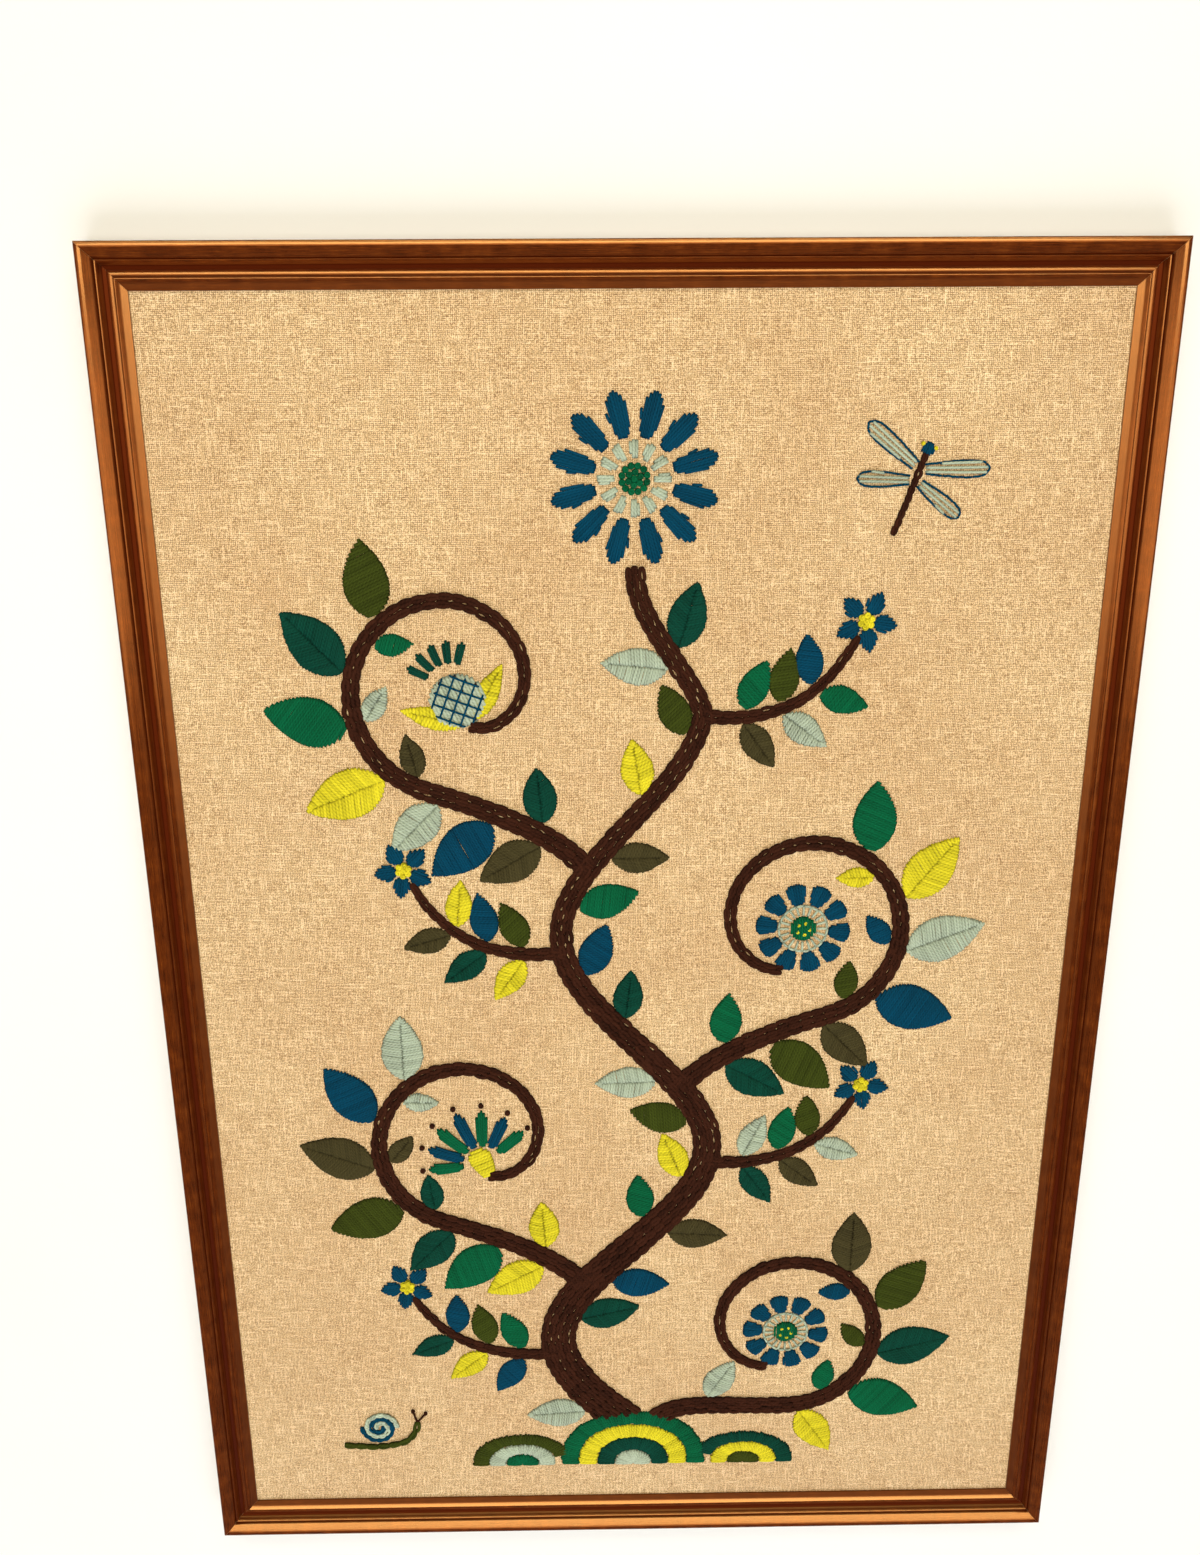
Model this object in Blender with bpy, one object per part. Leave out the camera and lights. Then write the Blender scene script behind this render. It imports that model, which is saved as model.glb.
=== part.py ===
"""A crewel embroidery on linen, stretched over a board, in a moulded wooden frame.

The panel lies on its back. +Z points out of the picture and +Y to its top, and the origin is on the
ground under its middle. Lengths are in millimetres up to the point where a mesh is made.
"""
from math import atan2, cos, hypot, pi, radians, sin

import bmesh
import bpy

MM = 0.001

# Opening of the frame, and the frame round it
SIGHT_WIDE, SIGHT_HIGH = 508.0, 762.0
RAIL_WIDE = 22.4
REBATE = 6.35
LINEN_FACE = 10.5
FIT_GAP = 0.3

# Linen, turned over the edges of its board
LINEN_THICK = 1.0
BOARD_THICK = 3.2
HEM = 18.0

# Raised stitching: height at its edge and at its crown, and how far it roots in the linen
STITCH_EDGE, STITCH_CROWN, STITCH_ROOT = 0.8, 1.7, 0.4
STEM_CROWN, MOUND_CROWN = 1.9, 2.1

# Flat crown of a dome, as a share of its outline, and the height share of a mound that it shrinks towards
DISC_INSET, MOUND_INSET, MOUND_MIDDLE = 0.6, 0.85, 0.4

# Moulding from the sight edge outwards: each row is reached by an arc that bulges up, or down if negative
MOULDING_START = {"out": 0.0, "up": 1.2}
MOULDING = (
    {"out": 3.5, "up": 2.2, "bulge": 0.00},
    {"out": 5.6, "up": 3.4, "bulge": 0.20},
    {"out": 6.5, "up": 1.9, "bulge": 0.15},
    {"out": 9.0, "up": 1.7, "bulge": 0.35},
    {"out": 9.8, "up": 0.9, "bulge": 0.00},
    {"out": 11.6, "up": 1.4, "bulge": 0.00},
    {"out": 13.2, "up": 4.1, "bulge": -0.10},
    {"out": 14.0, "up": 4.6, "bulge": 0.12},
    {"out": 14.4, "up": 4.2, "bulge": 0.00},
    {"out": 14.9, "up": 5.3, "bulge": 0.00},
    {"out": 19.3, "up": 7.9, "bulge": 0.00},
    {"out": 20.6, "up": 8.0, "bulge": 0.00},
    {"out": 21.8, "up": 7.7, "bulge": 0.00},
    {"out": RAIL_WIDE, "up": 6.9, "bulge": 0.16},
)
ARC_STEPS = 3

# Main stem: a wave from the mounds to the top flower, both measured from the middle of the opening
STEM_FOOT, STEM_HEAD = -323.0, 242.0
BENDS = 4
SWAY_LOW, SWAY_HIGH = 50.0, 38.0
TOP_FLOWER_AT = 288.0

# One scroll winds in each hollow of the wave and ends at its flower
SCROLL_OUT, SCROLL_RADIUS = 99.0, 58.0
SCROLL_ENTRY, SCROLL_TURN = radians(288.0), radians(318.0)
FIRST_SCROLL_ROOT = (14.0, -319.0)
SCROLLS = (
    {"flower": "wheel", "end_radius": 28.5},
    {"flower": "fan", "end_radius": 24.0},
    {"flower": "wheel", "end_radius": 28.5},
    {"flower": "fruit", "end_radius": 20.0},
)

# Stitched width of the stems at their root and tip
STEMS = {
    "main": {"root": 26.0, "tip": 11.0, "taper": 1.7, "steps": 40},
    "scroll": {"root": 13.5, "tip": 6.5, "taper": 1.0, "steps": 34},
    "spray": {"root": 8.5, "tip": 5.0, "taper": 1.0, "steps": 10},
}

# Leaves of each stem: where they sit along it, on which side, their lean, length and plumpness
LEAF_GAP = 0.7
LEAF_COLOURS = ("blue", "pale", "lime", "emerald", "forest", "moss", "olive")
SCROLL_LEAVES = (
    {"share": 0.085, "outer": True, "lean": 62, "length": 40},
    {"share": 0.168, "outer": True, "lean": 64, "length": 46},
    {"share": 0.256, "outer": True, "lean": 64, "length": 38},
    {"share": 0.340, "outer": True, "lean": 60, "length": 48},
    {"share": 0.423, "outer": True, "lean": 58, "length": 47},
    {"share": 0.506, "outer": True, "lean": 56, "length": 45},
    {"share": 0.590, "outer": True, "lean": 54, "length": 42},
    {"share": 0.100, "outer": False, "lean": 56, "length": 32},
    {"share": 0.300, "outer": False, "lean": 50, "length": 24},
    {"share": 0.430, "outer": False, "lean": 50, "length": 22},
    {"share": 0.560, "outer": False, "lean": 50, "length": 21},
)
SPRAY_LEAVES = (
    {"share": 0.22, "lean": 60, "length": 30},
    {"share": 0.43, "lean": 58, "length": 30},
    {"share": 0.64, "lean": 56, "length": 28},
)
MAIN_LEAVES = (
    {"share": 0.045, "hand": 1, "length": 38}, {"share": 0.160, "hand": -1, "length": 38},
    {"share": 0.215, "hand": -1, "length": 36}, {"share": 0.285, "hand": 1, "length": 30},
    {"share": 0.290, "hand": -1, "length": 36}, {"share": 0.345, "hand": 1, "length": 32},
    {"share": 0.415, "hand": 1, "length": 36}, {"share": 0.470, "hand": 1, "length": 36},
    {"share": 0.535, "hand": -1, "length": 30}, {"share": 0.590, "hand": -1, "length": 34},
    {"share": 0.665, "hand": -1, "length": 36}, {"share": 0.722, "hand": -1, "length": 32},
    {"share": 0.780, "hand": 1, "length": 32}, {"share": 0.845, "hand": 1, "length": 31},
    {"share": 0.915, "hand": 1, "length": 36}, {"share": 0.925, "hand": -1, "length": 36},
)
SCROLL_PLUMP, SPRAY_PLUMP, MAIN_PLUMP, MAIN_LEAN = 0.60, 0.56, 0.58, 50

# Whorls of petals: how many there are, how far from the centre they start, and their size
WHEEL_RIM = {"count": 10, "start": 15.0, "length": 13.0, "width": 15.4}
STAR_RIM = {"count": 5, "start": 3.6, "length": 14.0, "width": 10.4}
TOP_RIM = {"count": 12, "start": 21.0, "length": 25.0, "width": 14.6}
TOP_INNER = {"count": 12, "start": 10.4, "length": 9.6, "width": 7.2}
WHEEL_EYE, STAR_EYE, TOP_EYE = 7.6, 4.4, 9.6
STAR_AHEAD = 9.0

# Fans of petals, in pairs either side of an axis and one on it, each shorter than the one inside it
FAN = {"pairs": 3, "ahead": -15.0, "spread": radians(24), "start": 12.0, "length": 27.0, "shorter": 1.6,
       "width": 10.6}
FAN_CUP = {"start": -9.0, "length": 20.0, "width": 19.0}
CROWN = {"pairs": 2, "ahead": 4.0, "spread": radians(20), "start": 13.5, "length": 13.0, "shorter": 0.0,
         "width": 7.2}
BRACT_LEAN, BRACT_AHEAD = radians(52), -20.0
BRACT = {"start": 5.0, "length": 34.0, "width": 13.0}
FRUIT_AHEAD, FRUIT_RADIUS = -4.0, 15.5

# Ground at the foot of the stem
MOUND_BASE, MOUND_SHOULDER = -354.0, 0.8
MOUNDS = (
    {"x": 0.0, "wide": 96.0, "high": 42.0, "colour": "emerald"},
    {"x": -74.0, "wide": 66.0, "high": 24.0, "colour": "moss"},
    {"x": 74.0, "wide": 66.0, "high": 24.0, "colour": "forest"},
)

# Two small animals in the empty corners
DRAGONFLY_AT, DRAGONFLY_ANGLE = (150.0, 292.0), radians(70)
WINGS = (
    {"ahead": 0.0, "lean": radians(70), "start": 3.0, "length": 34.0, "width": 11.0},
    {"ahead": -6.0, "lean": radians(108), "start": 3.0, "length": 28.0, "width": 10.0},
)
BODY_FROM, BODY_TO, HEAD_AHEAD, HEAD_RADIUS = 8.0, -36.0, 11.0, 3.6
SNAIL_AT, SHELL_RADIUS = (-168.0, -322.0), 13.5
SNAIL_FOOT = ((-24.0, -14.0), (4.0, -17.0), (24.0, -17.0), (25.0, 4.0))

# Colour, roughness and metallic value of each material
FINISHES = {
    "linen": {"colour": (0.73, 0.51, 0.26), "rough": 0.95},
    "wood": {"colour": (0.30, 0.10, 0.03), "rough": 0.42},
    "board": {"colour": (0.46, 0.36, 0.24), "rough": 0.90},
    "blue": {"colour": (0.003, 0.070, 0.162), "rough": 0.85},
    "pale": {"colour": (0.347, 0.462, 0.462), "rough": 0.85},
    "lime": {"colour": (0.610, 0.578, 0.042), "rough": 0.85},
    "emerald": {"colour": (0.003, 0.162, 0.065), "rough": 0.85},
    "forest": {"colour": (0.003, 0.070, 0.054), "rough": 0.85},
    "moss": {"colour": (0.074, 0.107, 0.016), "rough": 0.85},
    "olive": {"colour": (0.069, 0.061, 0.028), "rough": 0.85},
    "brown": {"colour": (0.044, 0.010, 0.007), "rough": 0.85},
}
YARNS = [name for name in FINISHES if name not in ("linen", "wood", "board")]


def mix(a, b, u):
    return a + (b - a) * u


def along(point, angle, reach):
    return point[0] + reach * cos(angle), point[1] + reach * sin(angle)


def bezier(a, b, c, d, n):
    """n + 1 points along a cubic curve."""
    curve = []
    for i in range(n + 1):
        u, v = i / n, 1 - i / n
        curve.append(tuple(v ** 3 * p + 3 * v * v * u * q + 3 * v * u * u * r + u ** 3 * s
                           for p, q, r, s in zip(a, b, c, d)))
    return curve


def main_point(t):
    """Centre of the main stem at height share t."""
    sway = mix(SWAY_LOW, SWAY_HIGH, t) * min(1.0, (1.0 - t) * 7.0)
    return -sway * sin(BENDS * pi * t), mix(STEM_FOOT, STEM_HEAD, t)


def main_path(n=120):
    return [main_point(i / n) for i in range(n + 1)]


def scroll_centre(k):
    """Side of scroll k, 1 for right, and its centre."""
    side = 1 if k % 2 == 0 else -1
    return side, side * SCROLL_OUT, main_point((2 * k + 1) / (2 * BENDS))[1] + 2.0


def scroll_path(k, n=56):
    """Leaves the main stem, then winds round its hollow and in to the flower."""
    side, cx, cy = scroll_centre(k)
    x0, y0 = FIRST_SCROLL_ROOT if k == 0 else main_point(k / BENDS - 0.055)
    ring = []
    for i in range(n + 1):
        u = i / n
        phi = SCROLL_ENTRY + SCROLL_TURN * u
        r = mix(SCROLL_RADIUS, SCROLLS[k]["end_radius"], u ** 2.6)
        ring.append((cx + side * r * cos(phi), cy + r * sin(phi)))
    ex, ey = ring[0]
    tx, ty = -sin(SCROLL_ENTRY) * side, cos(SCROLL_ENTRY)
    lead = bezier((x0, y0), (x0 + side * 14, y0 + 22), (ex - tx * 30, ey - ty * 30), (ex, ey), n // 4)
    return lead[:-1] + ring


def spray_path(k, n=22):
    """A short frond on the outside of bend k."""
    side = -1 if k % 2 == 0 else 1
    x0, y0 = main_point((2 * k + 1) / (2 * BENDS) - 0.02)
    end = (side * (140.0 - 6.0 * k), y0 + 44.0)
    return bezier((x0, y0), (x0 + side * 30, y0 - 4), (end[0] - side * 20, end[1] - 42), end, n)


def at(path, share):
    """Point and heading at a share of a path's length."""
    run = [0.0]
    for (x0, y0), (x1, y1) in zip(path, path[1:]):
        run.append(run[-1] + hypot(x1 - x0, y1 - y0))
    want = share * run[-1]
    i = next((j for j in range(len(run) - 1) if run[j + 1] >= want), len(run) - 2)
    u = (want - run[i]) / (run[i + 1] - run[i])
    (x0, y0), (x1, y1) = path[i], path[i + 1]
    return (mix(x0, x1, u), mix(y0, y1, u)), atan2(y1 - y0, x1 - x0)


def stem(kind, path):
    return {"form": "stem", "path": path, "colour": "brown", **STEMS[kind]}


def stem_width(row, share):
    return mix(row["tip"], row["root"], (1 - share) ** row["taper"])


def vines():
    """The main stem, then the scroll and the spray of each bend."""
    scrolls = [stem("scroll", scroll_path(k)) for k in range(BENDS)]
    sprays = [stem("spray", spray_path(k)) for k in range(BENDS)]
    return stem("main", main_path()), scrolls, sprays


def stem_leaf(row, share, hand, lean, length, plump, colour):
    """A leaf beside a stem, on its left if hand is 1 and on its right if -1."""
    point, heading = at(row["path"], share)
    base = along(point, heading + hand * pi / 2, stem_width(row, share) / 2 + LEAF_GAP)
    return {"form": "leaf", "base": base, "angle": heading + hand * radians(lean), "length": length,
            "width": length * plump, "colour": LEAF_COLOURS[colour % len(LEAF_COLOURS)]}


def leaves():
    main, scrolls, sprays = vines()
    found = []
    for k in range(BENDS):
        side = scroll_centre(k)[0]
        for i, row in enumerate(SCROLL_LEAVES):
            if k == 0 and row["outer"] and row["share"] < 0.2:
                continue
            hand, colour = (-side, i + 2 * k) if row["outer"] else (side, 2 * i + k + 1)
            found.append(stem_leaf(scrolls[k], row["share"], hand, row["lean"], row["length"],
                                   SCROLL_PLUMP, colour))
        for i, row in enumerate(SPRAY_LEAVES):
            for j, hand in enumerate((1, -1)):
                found.append(stem_leaf(sprays[k], row["share"], hand, row["lean"], row["length"],
                                       SPRAY_PLUMP, 2 * i + 3 * j + k))
    for i, row in enumerate(MAIN_LEAVES):
        found.append(stem_leaf(main, row["share"], row["hand"], MAIN_LEAN, row["length"], MAIN_PLUMP,
                               3 * i + 1))
    return found


def petal(centre, angle, start, length, width, colour, form="lobe"):
    """A blade that points away from a centre."""
    return {"form": form, "base": along(centre, angle, start), "angle": angle, "length": length,
            "width": width, "colour": colour}


def whorl(centre, count, start, length, width, colour, form="lobe", turn=0.0):
    """Petals all round a centre."""
    return [petal(centre, turn + 2 * pi * i / count, start, length, width, colour, form)
            for i in range(count)]


def fan(centre, angle, size, colours):
    """Pointed petals spread either side of an axis."""
    root = along(centre, angle, size["ahead"])
    return [petal(root, angle + i * size["spread"], size["start"], size["length"] - size["shorter"] * abs(i),
                  size["width"], colours[i % 2], "spear") for i in range(-size["pairs"], size["pairs"] + 1)]


def fan_cup(centre, angle):
    return petal(along(centre, angle, FAN["ahead"]), angle, **FAN_CUP, colour="lime")


def bracts(centre, angle):
    root = along(centre, angle, BRACT_AHEAD)
    return [petal(root, angle + hand * BRACT_LEAN, **BRACT, colour="lime", form="leaf") for hand in (1, -1)]


def star_petals(path):
    """Five petals at the tip of a spray, with the gap between two of them over its stem, and their centre."""
    tip, heading = at(path, 1.0)
    centre = along(tip, heading, STAR_AHEAD)
    turn = heading + pi - pi / STAR_RIM["count"]
    return whorl(centre, **STAR_RIM, colour="blue", form="leaf", turn=turn), centre


def wings(centre, angle):
    return [petal(along(centre, angle, row["ahead"]), angle + hand * row["lean"], row["start"], row["length"],
                  row["width"], "pale") for hand in (1, -1) for row in WINGS]


def snail_foot(n):
    return bezier(*[(SNAIL_AT[0] + x, SNAIL_AT[1] + y) for x, y in SNAIL_FOOT], n)


def disc(centre, radius, colour):
    return {"form": "disc", "base": centre, "radius": radius, "colour": colour}


def wheel_flower(centre, turn):
    """A scalloped rim and a round eye, with bare linen between them."""
    return whorl(centre, **WHEEL_RIM, colour="blue", turn=turn) + [disc(centre, WHEEL_EYE, "emerald")]


def fan_flower(centre, angle):
    """Pointed petals spread from a cup."""
    return fan(centre, angle, FAN, ("blue", "emerald")) + [fan_cup(centre, angle)]


def fruit(centre, angle):
    """A round fruit with a small crown, between two bracts."""
    body = disc(along(centre, angle, FRUIT_AHEAD), FRUIT_RADIUS, "pale")
    return fan(centre, angle, CROWN, ("forest", "forest")) + bracts(centre, angle) + [body]


def star_flower(path):
    petals, centre = star_petals(path)
    return petals + [disc(centre, STAR_EYE, "lime")]


def top_flower(centre):
    outer = whorl(centre, **TOP_RIM, colour="blue", form="spear", turn=pi / TOP_RIM["count"])
    return outer + whorl(centre, **TOP_INNER, colour="pale") + [disc(centre, TOP_EYE, "emerald")]


def dragonfly(centre, angle):
    body = {"form": "stem", "path": [along(centre, angle, reach) for reach in (BODY_FROM, BODY_TO)],
            "root": 6.0, "tip": 2.6, "taper": 1.0, "steps": 2, "colour": "brown"}
    return wings(centre, angle) + [body, disc(along(centre, angle, HEAD_AHEAD), HEAD_RADIUS, "blue")]


def snail():
    """A round shell on a foot whose head bends up."""
    foot = {"form": "stem", "path": snail_foot(12), "root": 4.0, "tip": 6.0, "taper": 1.0, "steps": 8,
            "colour": "moss"}
    return [foot, disc(SNAIL_AT, SHELL_RADIUS, "pale")]


def design():
    """Every stitched form, as a row each."""
    main, scrolls, sprays = vines()
    found = [main] + scrolls + sprays + leaves()
    for k, row in enumerate(SCROLLS):
        side, cx, cy = scroll_centre(k)
        facing = pi / 2 - side * (pi / 2 - (SCROLL_ENTRY + SCROLL_TURN - pi))
        if row["flower"] == "wheel":
            found += wheel_flower((cx, cy), facing)
        elif row["flower"] == "fan":
            found += fan_flower((cx, cy), facing)
        else:
            found += fruit((cx, cy), facing)
        found += star_flower(spray_path(k))
    found += top_flower((0.0, TOP_FLOWER_AT))
    found += dragonfly(DRAGONFLY_AT, DRAGONFLY_ANGLE) + snail()
    found += [{"form": "mound", **row} for row in MOUNDS]
    return found


def half_share(form, u):
    """Half width of a blade at share u of its length, as a share of its greatest half width."""
    if form == "lobe":
        return (0.42 + 0.58 * u ** 0.8) * max(0.0, 1 - u ** 5) ** 0.5
    if form == "spear":
        return (0.25 + 0.75 * u ** 0.5) * max(0.0, 1 - u ** 3.2) ** 0.75 * 1.12
    return max(0.0, sin(pi * u ** 0.80)) ** 0.80


def blade_stations(row):
    """Left, middle and right points across a leaf or petal, from its base to its tip."""
    steps = 5 if row["length"] > 30 else 4
    stations = []
    for i in range(steps + 1):
        u = 0.5 - 0.5 * cos(pi * i / steps)
        middle = along(row["base"], row["angle"], u * row["length"])
        half = row["width"] / 2 * half_share(row["form"], u)
        stations.append([along(middle, row["angle"] + pi / 2, half), middle,
                         along(middle, row["angle"] - pi / 2, half)])
    return stations


def stem_stations(row):
    stations = []
    for i in range(row["steps"] + 1):
        share = i / row["steps"]
        middle, heading = at(row["path"], share)
        half = stem_width(row, share) / 2
        stations.append([along(middle, heading + pi / 2, half), middle,
                         along(middle, heading - pi / 2, half)])
    return stations


def add_ridge(bm, stations, crown, slot):
    """A raised strip: upright sides, and a top that rises to a ridge along its middle."""
    foot, edge, top = LINEN_FACE - STITCH_ROOT, LINEN_FACE + STITCH_EDGE, LINEN_FACE + crown
    pointed = [hypot(left[0] - right[0], left[1] - right[1]) < 0.2 for left, _, right in stations]
    rows = []
    for (left, middle, right), sharp in zip(stations, pointed):
        if sharp:
            low = bm.verts.new((middle[0] * MM, middle[1] * MM, foot * MM))
            high = bm.verts.new((middle[0] * MM, middle[1] * MM, edge * MM))
            rows.append({"feet": (low, low), "edges": (high, high), "crest": high})
            continue
        feet = [bm.verts.new((x * MM, y * MM, foot * MM)) for x, y in (left, right)]
        edges = [bm.verts.new((x * MM, y * MM, edge * MM)) for x, y in (left, right)]
        crest = bm.verts.new((middle[0] * MM, middle[1] * MM, top * MM))
        rows.append({"feet": feet, "edges": edges, "crest": crest})
    faces = []
    for a, b in zip(rows, rows[1:]):
        quads = [(a["feet"][0], a["feet"][1], b["feet"][1], b["feet"][0]),
                 (a["feet"][0], b["feet"][0], b["edges"][0], a["edges"][0]),
                 (b["feet"][1], a["feet"][1], a["edges"][1], b["edges"][1]),
                 (a["edges"][0], b["edges"][0], b["crest"], a["crest"]),
                 (a["crest"], b["crest"], b["edges"][1], a["edges"][1])]
        faces += [tuple(dict.fromkeys(quad)) for quad in quads]
    for row, sharp, flip in ((rows[0], pointed[0], 1), (rows[-1], pointed[-1], -1)):
        if not sharp:
            left, right = row["feet"], row["edges"]
            faces.append((left[0], right[0], row["crest"], right[1], left[1])[::flip])
    for corners in faces:
        bm.faces.new(corners).material_index = slot


def add_dome(bm, outline, centre, inset, crown, slot):
    """A raised form whose top slopes in from its outline to a flat crown."""
    rings = []
    for share, z in ((1.0, LINEN_FACE - STITCH_ROOT), (1.0, LINEN_FACE + STITCH_EDGE),
                     (inset, LINEN_FACE + crown)):
        rings.append([bm.verts.new((mix(centre[0], x, share) * MM, mix(centre[1], y, share) * MM, z * MM))
                      for x, y in outline])
    count = len(outline)
    for low, high in zip(rings, rings[1:]):
        for i in range(count):
            j = (i + 1) % count
            bm.faces.new((low[i], low[j], high[j], high[i])).material_index = slot
    bm.faces.new(rings[0][::-1]).material_index = slot
    bm.faces.new(rings[-1]).material_index = slot


def mound_outline(row, steps=12):
    arch = []
    for i in range(steps + 1):
        turn = pi * i / steps
        rise = row["high"] * sin(turn) ** MOUND_SHOULDER
        arch.append((row["x"] + row["wide"] / 2 * cos(turn), MOUND_BASE + rise))
    return arch


def disc_outline(row):
    steps = 16 if row["radius"] > 8 else 10
    return [along(row["base"], 2 * pi * i / steps, row["radius"]) for i in range(steps)]


def material(name):
    finish = FINISHES[name]
    found = bpy.data.materials.new(name)
    found.use_nodes = True
    shader = found.node_tree.nodes["Principled BSDF"]
    shader.inputs["Base Color"].default_value = (*finish["colour"], 1.0)
    shader.inputs["Roughness"].default_value = finish["rough"]
    shader.inputs["Metallic"].default_value = 0.0
    return found


def add_object(name, bm, materials):
    bmesh.ops.recalc_face_normals(bm, faces=bm.faces)
    mesh = bpy.data.meshes.new(name)
    bm.to_mesh(mesh)
    bm.free()
    obj = bpy.data.objects.new(name, mesh)
    bpy.context.scene.collection.objects.link(obj)
    for item in materials:
        mesh.materials.append(item)
    return obj


def arc(a, b, bulge, steps):
    """Points after a up to b, on a curve that stands off their chord by bulge."""
    (x0, y0), (x1, y1) = a, b
    span = hypot(x1 - x0, y1 - y0)
    points = []
    for i in range(1, steps + 1):
        u = i / steps
        lift = 4 * bulge * u * (1 - u) / span
        points.append((mix(x0, x1, u) - (y1 - y0) * lift, mix(y0, y1, u) + (x1 - x0) * lift))
    return points


def rail_section():
    """Section of a rail: distance out from the sight edge, and height over the ground."""
    face = [(MOULDING_START["out"], MOULDING_START["up"])]
    for row in MOULDING:
        steps = ARC_STEPS if abs(row["bulge"]) > 0.15 else 1
        face += arc(face[-1], (row["out"], row["up"]), row["bulge"], steps)
    ledge = LINEN_FACE + FIT_GAP
    return ([(0.0, ledge)] + [(out, LINEN_FACE + up) for out, up in face]
            + [(RAIL_WIDE, 0.0), (REBATE, 0.0), (REBATE, ledge)])


def make_rail(name, angle, half_length, half_across, finish):
    """A rail along +X on the +Y side, mitred at both ends, then turned to its own side."""
    bm = bmesh.new()
    clear = FIT_GAP / 2 * 2 ** 0.5
    ends = []
    for side in (-1, 1):
        ends.append([bm.verts.new((side * (half_length + out - clear) * MM, (half_across + out) * MM, z * MM))
                     for out, z in rail_section()])
    left, right = ends
    for i in range(len(left)):
        j = (i + 1) % len(left)
        bm.faces.new((left[i], left[j], right[j], right[i]))
    bm.faces.new(left)
    bm.faces.new(right[::-1])
    rail = add_object(name, bm, [finish])
    rail.rotation_euler = (0.0, 0.0, angle)
    return rail


def make_rails(finish):
    half_wide, half_high = SIGHT_WIDE / 2, SIGHT_HIGH / 2
    make_rail("rail_top", 0.0, half_wide, half_high, finish)
    make_rail("rail_left", pi / 2, half_high, half_wide, finish)
    make_rail("rail_bottom", pi, half_wide, half_high, finish)
    make_rail("rail_right", -pi / 2, half_high, half_wide, finish)


def linen_half_size():
    return SIGHT_WIDE / 2 + REBATE - FIT_GAP, SIGHT_HIGH / 2 + REBATE - FIT_GAP


def make_board(finish):
    """The stiff board that the linen is stretched over."""
    inset = LINEN_THICK + FIT_GAP
    half_wide, half_high = (half - inset for half in linen_half_size())
    top = LINEN_FACE - LINEN_THICK - FIT_GAP
    bm = bmesh.new()
    bmesh.ops.create_cube(bm, size=1.0)
    bmesh.ops.scale(bm, vec=(2 * half_wide * MM, 2 * half_high * MM, BOARD_THICK * MM), verts=bm.verts)
    bmesh.ops.translate(bm, vec=(0.0, 0.0, (top - BOARD_THICK / 2) * MM), verts=bm.verts)
    return add_object("backing_board", bm, [finish])


def linen_section():
    """The linen's section at an edge: distance in from its fold, and height over the ground."""
    under = LINEN_FACE - LINEN_THICK
    hem_top = under - 2 * FIT_GAP - BOARD_THICK
    hem_foot = hem_top - LINEN_THICK
    return [(0.0, LINEN_FACE), (0.0, hem_foot), (HEM, hem_foot), (HEM, hem_top),
            (LINEN_THICK, hem_top), (LINEN_THICK, under)]


def make_stitching(materials):
    """All raised stitching as closed forms, which the linen then takes in."""
    bm = bmesh.new()
    for row in design():
        slot = 1 + YARNS.index(row["colour"])
        if row["form"] == "stem":
            add_ridge(bm, stem_stations(row), STEM_CROWN, slot)
        elif row["form"] == "mound":
            middle = (row["x"], MOUND_BASE + row["high"] * MOUND_MIDDLE)
            add_dome(bm, mound_outline(row), middle, MOUND_INSET, MOUND_CROWN, slot)
        elif row["form"] == "disc":
            add_dome(bm, disc_outline(row), row["base"], DISC_INSET, STITCH_CROWN, slot)
        else:
            add_ridge(bm, blade_stations(row), STITCH_CROWN, slot)
    stitching = add_object("stitching", bm, materials)
    stitching.hide_render = True
    stitching.display_type = "WIRE"
    return stitching


def make_linen(materials):
    """The linen over the board, with its hem turned to the back and its stitching on its face."""
    half_wide, half_high = linen_half_size()
    bm = bmesh.new()
    rings = []
    for inset, z in linen_section():
        rings.append([bm.verts.new((sx * (half_wide - inset) * MM, sy * (half_high - inset) * MM, z * MM))
                      for sx, sy in ((-1, -1), (1, -1), (1, 1), (-1, 1))])
    for ring, after in zip(rings, rings[1:]):
        for i in range(4):
            j = (i + 1) % 4
            bm.faces.new((ring[i], ring[j], after[j], after[i]))
    bm.faces.new(rings[0][::-1])
    bm.faces.new(rings[-1])
    linen = add_object("embroidered_linen", bm, materials)
    union = linen.modifiers.new("stitching", "BOOLEAN")
    union.operation = "UNION"
    union.solver = "EXACT"
    union.use_self = True
    union.material_mode = "TRANSFER"
    union.object = make_stitching(materials)
    return linen


def main():
    for obj in list(bpy.data.objects):
        bpy.data.objects.remove(obj, do_unlink=True)
    make_rails(material("wood"))
    make_board(material("board"))
    make_linen([material(name) for name in ["linen"] + YARNS])


main()
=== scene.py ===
"""Looks of the framed crewel embroidery: its stitches, linen, moulding and board, and the studio."""
from math import atan2, cos, hypot, pi, radians, sin

import bpy
import numpy as np
from mathutils import Matrix, Vector


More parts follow.
